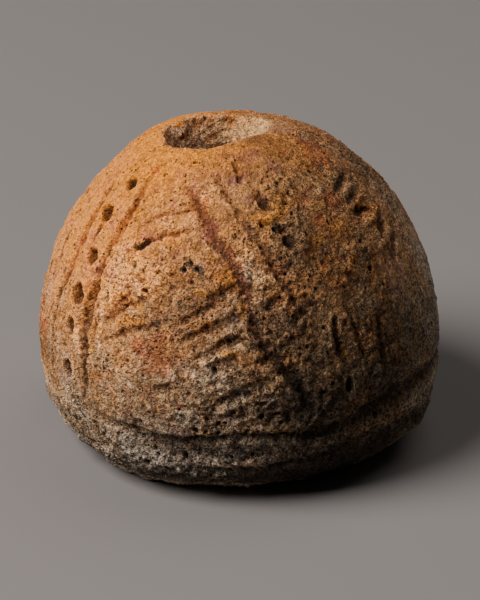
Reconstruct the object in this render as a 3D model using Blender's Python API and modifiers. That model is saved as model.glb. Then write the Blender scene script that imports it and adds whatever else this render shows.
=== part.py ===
"""A clay spindle whorl: one fired piece, domed above, flat below, pierced for a spindle.

Incised lines and pricked dots run down the dome in bands, with short slanted strokes in the
panels between them, and one groove runs right round above the foot. The whorl stands on its
flat underside, +Z up, with the origin under the middle of its outline. Azimuths are in
degrees, seen from above: 0 is the front (-Y), and 90 is the right (+X).
"""

import math

import bmesh
import bpy
from mathutils import Matrix, Vector

MM = 0.001

# ---- driving dimensions, in millimetres ---------------------------------------------------------
HEIGHT = 31.8
WIDEST_RADIUS = 20.0
WIDEST_LEVEL = 8.5
DOME_RISE = 24.1            # vertical half-axis of the dome's ellipse, from the widest level
FLANK_RADIUS = 19.6         # where the foot's rounding meets the flank
FOOT_ROUNDING = 6.0
BASE_RADIUS = 13.0

TOP_LEAN = -0.4             # the hand-made dome's top sits a little to the left
BASE_LEAN = -0.5            # and so does its flat base
LEAN_POWER = 1.5

HOLE_RADIUS = 3.4
HOLE_CENTRE = (-2.1, -0.6)
MOUTH_CENTRE = (-2.9, -0.9)
MOUTH_RADII = (4.5, 4.0)    # half widths across and along, where the mouth meets the top
MOUTH_DEPTH = 3.6
MOUTH_RINGS = 5
MOUTH_NARROWING = 0.32      # share of its half width that the mouth loses over its depth
MOUTH_FLARE = 1.6           # power that makes the narrowing slow at the top
WEAR_CENTRE = (0.2, 0.1)    # the thread has worn the mouth's right side into a shallow scoop
WEAR_RADII = (2.8, 3.0, 1.3)
FOOT_MOUTH_RADIUS = 4.1     # slight countersink where the hole leaves the base
FOOT_MOUTH_DEPTH = 1.2

BODY_SEGMENTS = 64
DOME_RINGS = 15
FOOT_RINGS = 6
HOLE_SEGMENTS = 32
OVERSHOOT = 2.0             # how far a cutter reaches past the surface it opens

LINE_WIDTH = 1.0
LINE_DEPTH = 0.40
STROKE_WIDTH = 0.9
STROKE_DEPTH = 0.40
DOT_DEPTH = 0.9
STEP_ALONG = 3.2            # spacing of the points along a groove's path
FEWEST_POINTS = 4
CURVE_SAMPLES = 8           # points read from each leg of a smooth path before it is evened out
END_TAPER = 0.55            # how thin a groove's cutter is at its ends, against its middle
DOT_SEGMENTS = 8
DOT_RINGS = 5
WELD = 0.00001              # metres
PROBE_TURN = 0.5            # degrees and millimetres between the points that give a normal
PROBE_RISE = 0.1

# Swells and hollows left by the maker's hands and by wear along the foot:
# azimuth, height, reach around in degrees, reach up, amount outwards.
SWELLS = (
    (100, 21.0, 22, 5.0, 0.20),
    (-98, 19.0, 20, 6.0, 0.28),
    (-130, 30.3, 25, 2.0, 0.20),
    (-70, 3.0, 10, 2.5, -0.45),
    (-54, 1.6, 9, 2.5, -0.35),
    (-28, 1.0, 14, 3.0, 0.35),
    (32, 1.0, 18, 3.0, -0.40),
    (67, 3.5, 9, 3.0, 0.55),
)

# Long lines that edge the bands: (azimuth, height) points from the mouth down to the foot.
FRONT_LINES = (
    ((-74, 27.5), (-73, 25.0), (-69, 18.5), (-67, 10.2)),
    ((-55, 30.0), (-50, 26.5), (-51, 20.5), (-49, 9.4)),
    ((-31, 29.9), (-18, 28.1), (-3, 25.0), (7, 19.8), (13, 14.7), (18, 10.6)),
    ((-13, 30.6), (-5, 28.9), (9, 24.7), (20, 20.6), (25, 18.4)),
)

# Dots pricked between a band's lines: (azimuth, height, half width, half length).
FRONT_DOTS = (
    (-62, 28.2, 0.55, 0.70),
    (-62, 25.2, 0.60, 0.85),
    (-58, 21.9, 0.60, 0.70),
    (-58, 18.3, 0.60, 0.75),
    (-58, 15.1, 0.60, 0.70),
    (-57, 11.0, 0.60, 0.80),
    (2, 30.6, 0.45, 0.95),
    (13, 28.4, 0.45, 0.85),
    (20, 25.6, 0.50, 1.15),
    (25, 21.6, 0.45, 0.60),
    (20, 19.3, 0.45, 0.60),
    (33, 12.1, 0.45, 0.90),
    (49, 21.7, 0.40, 0.45),
    (52, 19.8, 0.40, 0.45),
    (-7, 14.8, 0.40, 0.45),
    (-27, 4.0, 0.40, 0.45),
    (-55, 5.6, 0.40, 0.45),
    (70, 31.1, 0.45, 0.45),
    (86, 30.3, 0.45, 0.45),
)

# Short strokes in the panels: (azimuth, height) at each end.
FRONT_STROKES = (
    ((-41, 26.1), (-18, 27.9)),
    ((-39, 24.0), (-20, 26.3)),
    ((-45, 17.4), (-33, 20.4)),
    ((-40, 16.1), (-31, 17.8)),
    ((-36, 11.9), (-19, 13.8)),
    ((-17, 20.0), (-3, 21.8)),
    ((-14, 17.6), (2, 19.6)),
    ((-12, 15.9), (1, 17.5)),
    ((-7, 11.2), (9, 12.8)),
    ((54, 28.1), (70, 28.5)),
    ((57, 27.0), (67, 27.4)),
    ((55, 25.8), (69, 26.2)),
    ((61, 24.0), (72, 24.6)),
    ((63, 21.4), (77, 21.9)),
    ((30, 18.7), (29, 15.5)),
    ((35, 18.0), (38, 13.0)),
    ((46, 17.0), (46, 12.3)),
)

# The sides away from the front repeat the pattern more plainly: a band of two lines and dots at
# each of these azimuths, and slanted strokes in the panels that start at the others.
BACK_BANDS = (112, 178, -118)
BAND_HALF_ANGLE = 10
BAND_TOP = 29.2
BAND_FOOT = 9.8
BAND_DOTS = 6
BACK_PANELS = (129, -162, -103)
PANEL_SPAN = 22
PANEL_STROKES = 4
PANEL_LOW = 12.0
PANEL_PITCH = 3.6
PANEL_RISE = 2.0

# The groove right round above the foot.
FOOT_GROOVE_LEVEL = 7.8
FOOT_GROOVE_WAVE = 0.4
FOOT_GROOVE_WIDTH = 1.1
FOOT_GROOVE_DEPTH = 0.45
FOOT_GROOVE_POINTS = 48

CLAY_COLOUR = (0.36, 0.17, 0.075, 1.0)
CLAY_ROUGHNESS = 0.9


# ---- the body's surface -------------------------------------------------------------------------
def radius_at(z):
    """Radius of the true turned form at height z."""
    if z >= WIDEST_LEVEL:
        return WIDEST_RADIUS * math.sqrt(1 - ((z - WIDEST_LEVEL) / DOME_RISE) ** 2)
    if z >= FOOT_ROUNDING:
        share = (z - FOOT_ROUNDING) / (WIDEST_LEVEL - FOOT_ROUNDING)
        return FLANK_RADIUS + (WIDEST_RADIUS - FLANK_RADIUS) * math.sin(share * math.pi / 2)
    share = 1 - ((FOOT_ROUNDING - z) / FOOT_ROUNDING) ** 2
    return BASE_RADIUS + (FLANK_RADIUS - BASE_RADIUS) * math.sqrt(max(share, 0.0))


def lean_at(z):
    """How far the form's centre has moved along X at height z."""
    up = max(z - WIDEST_LEVEL, 0.0) / (HEIGHT - WIDEST_LEVEL)
    down = max(WIDEST_LEVEL - z, 0.0) / WIDEST_LEVEL
    return TOP_LEAN * up**LEAN_POWER + BASE_LEAN * down**LEAN_POWER


def swell_at(azimuth, z):
    """How far the hand-pressed swells push the surface out."""
    total = 0.0
    for middle, height, around, up, amount in SWELLS:
        turn = (azimuth - middle + 180) % 360 - 180
        total += amount * math.exp(-((turn / around) ** 2) - ((z - height) / up) ** 2)
    return total


def surface(azimuth, z):
    """Point on the finished body's outside, in millimetres."""
    angle = math.radians(azimuth)
    radius = radius_at(z) + swell_at(azimuth, z)
    return Vector((radius * math.sin(angle) + lean_at(z), -radius * math.cos(angle), z))


def outward(azimuth, z):
    """Unit normal of the body's outside."""
    around = surface(azimuth + PROBE_TURN, z) - surface(azimuth - PROBE_TURN, z)
    along = surface(azimuth, min(z + PROBE_RISE, HEIGHT)) - surface(azimuth, z - PROBE_RISE)
    return around.cross(along).normalized()


def profile():
    """Half outline of the body, top to bottom, as (radius, height) from axis to axis."""
    points = [(0.0, HEIGHT)]
    top_angle = math.asin((HEIGHT - WIDEST_LEVEL) / DOME_RISE)
    for ring in range(DOME_RINGS + 1):
        angle = top_angle * (1 - ring / DOME_RINGS)
        height = WIDEST_LEVEL + DOME_RISE * math.sin(angle)
        points.append((radius_at(height), height))
    points.append((FLANK_RADIUS, FOOT_ROUNDING))
    for ring in range(1, FOOT_RINGS + 1):
        angle = math.pi / 2 * ring / FOOT_RINGS
        height = FOOT_ROUNDING * (1 - math.sin(angle))
        points.append((radius_at(height), height))
    points.append((0.0, 0.0))
    return points


# ---- small modelling helpers --------------------------------------------------------------------
def collection(name):
    made = bpy.data.collections.new(name)
    bpy.context.scene.collection.children.link(made)
    return made


def clay():
    material = bpy.data.materials.new("fired_clay")
    material.use_nodes = True
    shader = material.node_tree.nodes["Principled BSDF"]
    shader.inputs["Base Color"].default_value = CLAY_COLOUR
    shader.inputs["Roughness"].default_value = CLAY_ROUGHNESS
    shader.inputs["Metallic"].default_value = 0.0
    return material


def turned(name, outline, segments, into):
    """A turned form: a half outline swept round Z by a Screw modifier and made a mesh."""
    mesh = bpy.data.meshes.new(name)
    corners = [(radius * MM, 0.0, height * MM) for radius, height in outline]
    mesh.from_pydata(corners, [(i, i + 1) for i in range(len(corners) - 1)], [])
    made = bpy.data.objects.new(name, mesh)
    into.objects.link(made)
    screw = made.modifiers.new("turn", "SCREW")
    screw.axis = "Z"
    screw.steps = segments
    screw.render_steps = segments
    screw.use_merge_vertices = True
    screw.merge_threshold = WELD
    return settled(made)


def settled(made):
    """The object with its modifiers turned into plain mesh."""
    seen = made.evaluated_get(bpy.context.evaluated_depsgraph_get())
    made.data = bpy.data.meshes.new_from_object(seen)
    made.modifiers.clear()
    return made


def as_cutter(made):
    made.hide_render = True
    made.display_type = "WIRE"
    return made


# ---- the parts ----------------------------------------------------------------------------------
def body(into):
    """The whorl before carving: the turned form, leaned and pressed out of round."""
    made = turned("whorl", profile(), BODY_SEGMENTS, into)
    for vertex in made.data.vertices:
        x, y, z = vertex.co / MM
        azimuth = math.degrees(math.atan2(x, -y))
        radius = math.hypot(x, y)
        if radius > 0:
            scale = 1 + swell_at(azimuth, z) * radius / radius_at(z) ** 2
            x *= scale
            y *= scale
        vertex.co = Vector((x + lean_at(z), y, z)) * MM
    return made


def hole(into):
    """Cutter for the spindle hole: straight, widened towards both mouths."""
    top = HEIGHT + OVERSHOOT
    outline = (
        (0.0, top),
        (HOLE_RADIUS, top),
        (HOLE_RADIUS, FOOT_MOUTH_DEPTH),
        (FOOT_MOUTH_RADIUS, 0.0),
        (FOOT_MOUTH_RADIUS, -OVERSHOOT),
        (0.0, -OVERSHOOT),
    )
    made = turned("hole", outline, HOLE_SEGMENTS, into)
    across, along = HOLE_CENTRE
    made.data.transform(Matrix.Translation((across * MM, along * MM, 0.0)))
    return as_cutter(made)


def mouth(into):
    """Cutter for the worn mouth: a bowl, wider across than along."""
    across, along = MOUTH_RADII
    outline = [(0.0, HEIGHT + OVERSHOOT), (1.0, HEIGHT + OVERSHOOT)]
    for ring in range(MOUTH_RINGS):
        share = ring / (MOUTH_RINGS - 1)
        outline.append((1.0 - MOUTH_NARROWING * share**MOUTH_FLARE, HEIGHT - MOUTH_DEPTH * share))
    outline.append((0.0, HEIGHT - MOUTH_DEPTH))
    made = turned("mouth", outline, HOLE_SEGMENTS, into)
    for vertex in made.data.vertices:
        vertex.co.x = vertex.co.x * across + MOUTH_CENTRE[0] * MM
        vertex.co.y = vertex.co.y * along + MOUTH_CENTRE[1] * MM
    return as_cutter(made)


def wear(into):
    """Cutter for the scoop worn into the mouth's right side."""
    shape = bmesh.new()
    place = Matrix.Translation((WEAR_CENTRE[0] * MM, WEAR_CENTRE[1] * MM, HEIGHT * MM))
    size = Matrix.Diagonal((*(radius * MM for radius in WEAR_RADII), 1.0))
    bmesh.ops.create_uvsphere(
        shape, u_segments=2 * DOT_SEGMENTS, v_segments=2 * DOT_RINGS, radius=1.0, matrix=place @ size
    )
    return as_cutter(from_shape("wear", shape, into))


def from_shape(name, shape, into):
    mesh = bpy.data.meshes.new(name)
    shape.to_mesh(mesh)
    shape.free()
    made = bpy.data.objects.new(name, mesh)
    into.objects.link(made)
    return made


def smooth(points):
    """Many points on the smooth curve through a few (azimuth, height) points."""
    corners = [Vector(point) for point in points]
    corners = [2 * corners[0] - corners[1], *corners, 2 * corners[-1] - corners[-2]]
    result = []
    for before, start, end, after in zip(corners, corners[1:], corners[2:], corners[3:]):
        for sample in range(CURVE_SAMPLES):
            share = sample / CURVE_SAMPLES
            bend = 2 * before - 5 * start + 4 * end - after
            twist = 3 * (start - end) + after - before
            result.append(start + share * (end - before + share * (bend + share * twist)) / 2)
    result.append(corners[-2])
    return result


def along_path(points):
    """Points at an even step along the smooth path through a few (azimuth, height) points."""
    fine = smooth(points)
    lengths = [0.0]
    for start, end in zip(fine, fine[1:]):
        lengths.append(lengths[-1] + (surface(*end) - surface(*start)).length)
    count = max(FEWEST_POINTS, round(lengths[-1] / STEP_ALONG) + 1)
    result = []
    for index in range(count):
        reach = lengths[-1] * index / (count - 1)
        leg = next(i for i in range(len(fine) - 1) if reach <= lengths[i + 1] + WELD)
        share = (reach - lengths[leg]) / (lengths[leg + 1] - lengths[leg])
        result.append(fine[leg].lerp(fine[leg + 1], share))
    return result


def groove_cutter(name, paths, width, depth, into, closed=False):
    """Round cutters that follow the body along each path and leave a groove of this section."""
    section = (width**2 / 4 + depth**2) / (2 * depth)
    curve = bpy.data.curves.new(name, "CURVE")
    curve.dimensions = "3D"
    curve.bevel_depth = section * MM
    curve.bevel_resolution = 2
    curve.use_fill_caps = True
    for path in paths:
        spline = curve.splines.new("POLY")
        spline.points.add(len(path) - 1)
        spline.use_cyclic_u = closed
        for index, (azimuth, height) in enumerate(path):
            place = surface(azimuth, height) + outward(azimuth, height) * (section - depth)
            spline.points[index].co = (*(place * MM), 1.0)
            at_end = index in (0, len(path) - 1) and not closed
            spline.points[index].radius = END_TAPER if at_end else 1.0
    made = bpy.data.objects.new(name + "_path", curve)
    into.objects.link(made)
    bpy.context.view_layer.update()
    return meshed(made, name, into)


def meshed(curve_object, name, into):
    """The curve's tube as a closed mesh object, with its caps welded on."""
    seen = curve_object.evaluated_get(bpy.context.evaluated_depsgraph_get())
    shape = bmesh.new()
    shape.from_mesh(bpy.data.meshes.new_from_object(seen))
    bmesh.ops.remove_doubles(shape, verts=shape.verts, dist=WELD)
    made = from_shape(name, shape, into)
    made.matrix_world = curve_object.matrix_world
    bpy.data.objects.remove(curve_object)
    return as_cutter(made)


def dot_cutter(name, dots, into):
    """Egg-shaped cutters that leave a pricked dot at each place."""
    shape = bmesh.new()
    for azimuth, height, half_width, half_length in dots:
        normal = outward(azimuth, height)
        across = Vector((normal.y, -normal.x, 0.0)).normalized()
        along = normal.cross(across)
        turn = Matrix((across, along, normal)).transposed().to_4x4()
        size = Matrix.Diagonal((half_width * MM, half_length * MM, DOT_DEPTH * MM, 1.0))
        place = Matrix.Translation(surface(azimuth, height) * MM)
        bmesh.ops.create_uvsphere(
            shape,
            u_segments=DOT_SEGMENTS,
            v_segments=DOT_RINGS,
            radius=1.0,
            matrix=place @ turn @ size,
        )
    return as_cutter(from_shape(name, shape, into))


def back_lines():
    """The two lines of each band on the sides away from the front."""
    return [
        ((middle + side * BAND_HALF_ANGLE, BAND_TOP), (middle + side * BAND_HALF_ANGLE, BAND_FOOT))
        for middle in BACK_BANDS
        for side in (-1, 1)
    ]


def back_dots():
    """The dots between them, evenly down the band."""
    pitch = (BAND_TOP - BAND_FOOT) / BAND_DOTS
    return [
        (middle, BAND_TOP - pitch * (index + 0.4), 0.55, 0.75)
        for middle in BACK_BANDS
        for index in range(BAND_DOTS)
    ]


def back_strokes():
    """Slanted strokes, one above another, in each panel between the bands."""
    strokes = []
    for start in BACK_PANELS:
        for index in range(PANEL_STROKES):
            low = PANEL_LOW + PANEL_PITCH * index
            strokes.append(((start, low), (start + PANEL_SPAN, low + PANEL_RISE)))
    return strokes


def foot_groove():
    """The ring groove's path, which wanders a little as it goes round."""
    path = []
    for index in range(FOOT_GROOVE_POINTS):
        azimuth = 360 * index / FOOT_GROOVE_POINTS - 180
        wave = math.sin(math.radians(azimuth - 20))
        path.append((azimuth, FOOT_GROOVE_LEVEL + FOOT_GROOVE_WAVE * wave))
    return path


def main():
    for old in list(bpy.data.objects):
        bpy.data.objects.remove(old)
    parts = collection("clay_spindle_whorl")
    cutters = collection("cutters")

    whorl = body(parts)
    whorl.data.materials.clear()
    whorl.data.materials.append(clay())
    whorl.data.shade_smooth()

    lines = [along_path(line) for line in (*FRONT_LINES, *back_lines())]
    strokes = [along_path(stroke) for stroke in (*FRONT_STROKES, *back_strokes())]
    tools = (
        hole(cutters),
        mouth(cutters),
        wear(cutters),
        groove_cutter("foot_groove", [foot_groove()], FOOT_GROOVE_WIDTH, FOOT_GROOVE_DEPTH, cutters, True),
        groove_cutter("lines", lines, LINE_WIDTH, LINE_DEPTH, cutters),
        groove_cutter("strokes", strokes, STROKE_WIDTH, STROKE_DEPTH, cutters),
        dot_cutter("dots", [*FRONT_DOTS, *back_dots()], cutters),
    )
    for tool in tools:
        cut = whorl.modifiers.new(tool.name, "BOOLEAN")
        cut.operation = "DIFFERENCE"
        cut.solver = "EXACT"
        cut.object = tool


main()
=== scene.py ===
from itertools import product

import bpy
import numpy as np
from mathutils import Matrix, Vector


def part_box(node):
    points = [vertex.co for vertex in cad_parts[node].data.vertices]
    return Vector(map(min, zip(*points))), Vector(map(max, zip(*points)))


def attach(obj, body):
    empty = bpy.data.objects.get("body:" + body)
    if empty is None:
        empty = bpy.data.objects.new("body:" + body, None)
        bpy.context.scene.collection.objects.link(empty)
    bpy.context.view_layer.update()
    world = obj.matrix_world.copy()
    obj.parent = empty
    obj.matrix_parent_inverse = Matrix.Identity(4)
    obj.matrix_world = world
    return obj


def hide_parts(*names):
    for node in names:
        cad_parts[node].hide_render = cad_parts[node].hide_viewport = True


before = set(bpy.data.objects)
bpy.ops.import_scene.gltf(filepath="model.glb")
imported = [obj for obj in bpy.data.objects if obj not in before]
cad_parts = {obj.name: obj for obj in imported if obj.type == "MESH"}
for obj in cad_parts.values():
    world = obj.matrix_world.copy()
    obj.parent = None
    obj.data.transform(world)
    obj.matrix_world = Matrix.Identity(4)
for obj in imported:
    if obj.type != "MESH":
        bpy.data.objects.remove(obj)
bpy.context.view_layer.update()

# The surface of a hand-made, fired-clay spindle whorl: worn smooth at the top left, crusted in front and
# sooty at the lower right. Lengths are in millimetres until the mesh is made. An azimuth is in degrees round
# the whorl, 0 at the front (-Y) and positive to the right (+X). A level is a height above the flat base.

# The plain body: a dome, a short flank and a rounded foot, leaning a little, with a hole off the middle.
low_corner, high_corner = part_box("whorl")
HEIGHT = round(high_corner.z * 1000, 1)
WIDEST_RADIUS = round((high_corner.x - low_corner.x) * 500, 1)
WIDEST_LEVEL = 8.5
DOME_RISE = 24.1
FLANK_RADIUS = 19.6
FOOT_ROUNDING = 6.0
BASE_RADIUS = 13.0
TOP_LEAN = -0.4
BASE_LEAN = -0.5
HOLE_CENTRE = (-2.1, -0.6)
HOLE_RADIUS = 3.4
FOOT_MOUTH_RADIUS = 4.1

# Swells and hollows from shaping by hand: azimuth, level, reach round in degrees, reach up, amount.
SWELLS = (
    (2, 0.6, 30, 1.7, -0.85), (100, 21, 22, 5, 0.2), (-98, 19, 20, 6, 0.28), (-130, 30.3, 25, 2, 0.2),
    (-70, 3, 10, 2.5, -0.45), (-54, 1.6, 9, 2.5, -0.35), (-28, 1, 14, 3, 0.35), (32, 1, 18, 3, -0.4),
    (67, 3.5, 9, 3, 0.55), (-112, 25, 16, 3, -0.18), (140, 31.4, 50, 1.4, -0.25),
)

# The rim of the worn mouth: azimuth round the hole's centre, distance from that centre.
RIM = (
    (-160, 4.15), (-136, 5), (-122, 5.75), (-110, 5.75), (-88, 5.3), (-72, 5.4), (-46, 4.65), (-22, 4.55),
    (-4, 4.2), (22, 3.35), (54, 3.1), (83, 4.3), (105, 5.15), (126, 5.4), (150, 4.75), (171, 4.25),
)
# How deep the mouth's funnel goes, and how hollow its wall is, round the hole.
FUNNEL = ((-150, 4.6), (-90, 4), (-30, 1.8), (30, 1.6), (80, 3.2), (110, 4), (150, 4.6))
HOLLOWING = ((-150, 1), (-90, 1.1), (-30, 1.4), (30, 1.3), (80, 0.9), (110, 0.9), (150, 1))

# The grid of points, closer together in front, and what it is reduced to.
COLUMNS = 960
FRONT_PULL = 15.0
CAP_LEVEL = 27.0
CAP_ROWS = 66
BODY_ROWS = 290
BASE_ROWS = 22
BORE_ROWS = 44
MOUTH_ROWS = 40
MOST_TRIANGLES = 194000


# ---- helpers


def step(low, high, value):
    """0 below low, 1 above high, and smooth between."""
    t = unit((value - low) / (high - low))
    return t * t * (3.0 - 2.0 * t)


def mix(a, b, share):
    return a + (b - a) * share


def unit(value):
    return np.clip(value, 0.0, 1.0)


def turn_between(azimuth, middle):
    """The turn from middle to azimuth, from -180 to 180 degrees."""
    return (azimuth - middle + 180.0) % 360.0 - 180.0


def round_curve(table, azimuth):
    """A value round the whorl, read smoothly from a short table of azimuth and value."""
    known, values = np.array(table, float).T
    known = np.concatenate((known - 360.0, known, known + 360.0))
    fine = np.arange(-540.0, 540.0, 2.0)
    curve = np.interp(fine, known, np.tile(values, 3))
    kernel = np.hanning(15)
    curve = np.convolve(curve, kernel / kernel.sum(), "same")
    return np.interp(turn_between(azimuth, 0.0), fine, curve)


def scatter(cell, seed):
    """A fixed random value from 0 to 1 for each lattice cell."""
    x, y, z = (cell[..., k].astype(np.uint64) for k in range(3))
    h = x * np.uint64(73856093) ^ y * np.uint64(19349663) ^ z * np.uint64(83492791)
    h = (h + np.uint64(seed * 2654435761 % 4294967296)) & np.uint64(0xFFFFFFFF)
    h = (h ^ (h >> np.uint64(15))) * np.uint64(2246822519) & np.uint64(0xFFFFFFFF)
    h = (h ^ (h >> np.uint64(13))) * np.uint64(3266489917) & np.uint64(0xFFFFFFFF)
    return ((h ^ (h >> np.uint64(16))) & np.uint64(0xFFFFFF)).astype(np.float32) / 16777215.0


LATTICE = 64
SLOPES = np.random.default_rng(20).normal(size=(LATTICE**3, 3)).astype(np.float32)
SLOPES /= np.linalg.norm(SLOPES, axis=1, keepdims=True)


def noise(points, size, seed):
    """Smooth noise from about -1 to 1, with lumps about size across."""
    scaled = points / size + seed * np.array((17.13, 31.77, 47.31)) % LATTICE
    cell = np.floor(scaled).astype(np.int32)
    offset = (scaled - cell).astype(np.float32)
    t = offset**3 * (offset * (offset * 6 - 15) + 10)
    total = np.zeros(points.shape[:-1], np.float32)
    for corner in product((0, 1), repeat=3):
        x, y, z = ((cell[..., k] + corner[k]) % LATTICE for k in range(3))
        slope = SLOPES[(x * LATTICE + y) * LATTICE + z]
        weight = 1
        for k in range(3):
            weight = weight * (t[..., k] if corner[k] else 1 - t[..., k])
        total += weight * (slope * (offset - np.array(corner, np.float32))).sum(-1)
    return 1.9 * total


def rough(points, size, seed, octaves=3, fall=0.5):
    """Several sizes of noise added up, from about -1 to 1."""
    total = 0.0
    share = 1.0
    weight = 0.0
    for octave in range(octaves):
        total = total + share * noise(points, size / 2.0**octave, seed + 31 * octave)
        weight += share
        share *= fall
    return total / weight * 1.5


def webbed(points, size, seed):
    """Thin ridges that meet in a web, from 0 to 1."""
    return unit(1.0 - 2.8 * np.abs(noise(points, size, seed)))


def pores(points, size, seed, share, small, large, depth):
    """Round pores in a share of a lattice's cells: how deep the surface is cut at each point."""
    scaled = points / size + 1000.0
    cell = np.floor(scaled).astype(np.int64)
    cut = np.zeros(points.shape[:-1], np.float32)
    for neighbour in product((-1, 0, 1), repeat=3):
        near = cell + np.array(neighbour)
        there = scatter(near, seed + 3) < share
        near = near[there]
        centre = near + np.stack([scatter(near, seed + k) for k in range(3)], -1)
        gap = np.linalg.norm(scaled[there] - centre, axis=-1) * size
        reach = mix(small, large, scatter(near, seed + 4) ** 2.5)
        shape = unit(1.0 - (gap / reach) ** 2) ** 0.7
        cut[there] = np.maximum(cut[there], shape * reach * depth)
    return cut


# ---- the plain body


def body_radius(level):
    share = (level - WIDEST_LEVEL) / DOME_RISE
    dome = WIDEST_RADIUS * np.sqrt(unit(1.0 - share**2))
    rise = unit((level - FOOT_ROUNDING) / (WIDEST_LEVEL - FOOT_ROUNDING))
    flank = FLANK_RADIUS + (WIDEST_RADIUS - FLANK_RADIUS) * np.sin(np.pi / 2 * rise)
    fall = unit((FOOT_ROUNDING - level) / FOOT_ROUNDING)
    foot = BASE_RADIUS + (FLANK_RADIUS - BASE_RADIUS) * np.sqrt(1.0 - fall**2)
    return np.where(level >= WIDEST_LEVEL, dome, np.where(level >= FOOT_ROUNDING, flank, foot))


def lean(level):
    up = unit((level - WIDEST_LEVEL) / (HEIGHT - WIDEST_LEVEL))
    down = unit((WIDEST_LEVEL - level) / WIDEST_LEVEL)
    return TOP_LEAN * up**1.5 + BASE_LEAN * down**1.5


def swell(azimuth, level):
    total = 0.0
    for middle, height, around, up, amount in SWELLS:
        away = (turn_between(azimuth, middle) / around) ** 2 + ((level - height) / up) ** 2
        total = total + amount * np.exp(-away)
    return total


def body_point(azimuth, level):
    turn = np.radians(azimuth)
    radius = body_radius(level) + swell(azimuth, level)
    return np.stack((radius * np.sin(turn) + lean(level), -radius * np.cos(turn), level + 0.0 * turn), -1)


def cap_level(x, y):
    """The height of the domed top over a point in plan, with a softly flattened crown."""
    level = np.full(np.shape(x), 30.0)
    for _ in range(4):
        out_x = x - lean(level)
        azimuth = np.degrees(np.arctan2(out_x, -y))
        radius = np.hypot(out_x, y) - swell(azimuth, level)
        level = WIDEST_LEVEL + DOME_RISE * np.sqrt(unit(1.0 - (radius / WIDEST_RADIUS) ** 2))
    softness = 0.14
    return level - softness * np.log1p(np.exp((level - HEIGHT) / softness))


def around_hole(azimuth, radius, level):
    turn = np.radians(azimuth)
    x = HOLE_CENTRE[0] + radius * np.sin(turn)
    y = HOLE_CENTRE[1] - radius * np.cos(turn)
    return np.stack((x, y, level + 0.0 * x), -1)


def surface_grid():
    """Rows of points from the mouth's rim over the dome to the base, and back up through the hole."""
    turn = np.linspace(-180.0, 180.0, COLUMNS, endpoint=False)
    azimuth = turn - FRONT_PULL * np.sin(np.radians(turn))
    rim = around_hole(azimuth, round_curve(RIM, azimuth), 0.0)
    rim[..., 2] = cap_level(rim[..., 0], rim[..., 1])

    join = body_point(azimuth, np.full(COLUMNS, CAP_LEVEL))
    miss = CAP_LEVEL - cap_level(join[:, 0], join[:, 1])
    rows = []
    for t in np.linspace(0.0, 1.0, CAP_ROWS, endpoint=False):
        row = mix(rim, join, t)
        row[:, 2] = cap_level(row[:, 0], row[:, 1]) + t * miss
        rows.append(row)

    fine = np.linspace(CAP_LEVEL, 0.0, 4000)
    profile = np.stack((body_radius(fine), fine), -1)
    arc = np.concatenate(((0.0,), np.cumsum(np.linalg.norm(np.diff(profile, axis=0), axis=1))))
    for level in np.interp(np.linspace(0.0, arc[-1], BODY_ROWS), arc, fine):
        rows.append(body_point(azimuth, np.full(COLUMNS, level)))

    foot_mouth = around_hole(azimuth, FOOT_MOUTH_RADIUS, 0.0)
    for t in np.linspace(0.0, 1.0, BASE_ROWS)[1:]:
        rows.append(mix(rows[CAP_ROWS + BODY_ROWS - 1], foot_mouth, t))

    depth = round_curve(FUNNEL, azimuth)
    power = round_curve(HOLLOWING, azimuth)
    bore = np.minimum(HOLE_RADIUS, round_curve(RIM, azimuth) - 0.15)
    floor_of_funnel = rim[:, 2] - depth
    for t in np.linspace(0.0, 1.0, BORE_ROWS)[1:]:
        opened = (FOOT_MOUTH_RADIUS - HOLE_RADIUS) * (1.0 - step(0.0, 0.06, t))
        radius = mix(HOLE_RADIUS, bore, step(0.5, 1.0, t)) + opened
        rows.append(around_hole(azimuth, radius, floor_of_funnel * t))
    for t in np.linspace(0.0, 1.0, MOUTH_ROWS)[1:-1]:
        radius = bore + (round_curve(RIM, azimuth) - bore) * t**power
        rows.append(around_hole(azimuth, radius, floor_of_funnel + depth * t))
    return np.array(rows)


def rounded(points, first, last, times):
    """The rows from first to last, eased into each other to round an edge off. Rows run in a ring."""
    rows = np.arange(first, last)
    for _ in range(times):
        before = points[(rows - 1) % len(points)]
        after = points[(rows + 1) % len(points)]
        points[rows % len(points)] = 0.5 * points[rows % len(points)] + 0.25 * (before + after)
    return points


def normals_of(points):
    along_rows = np.roll(points, -1, 0) - np.roll(points, 1, 0)
    along_columns = np.roll(points, -1, 1) - np.roll(points, 1, 1)
    normal = np.cross(along_rows, along_columns)
    return normal / np.maximum(np.linalg.norm(normal, axis=-1, keepdims=True), 1e-9)


# ---- marks cut in the clay

# Widths, lengths, heights and depths of marks are in hundredths of a millimetre.

MARK_UNITS = (1, 1, 100, 100)
DOT_UNITS = (1, 1, 100, 100, 100, 1)

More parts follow.
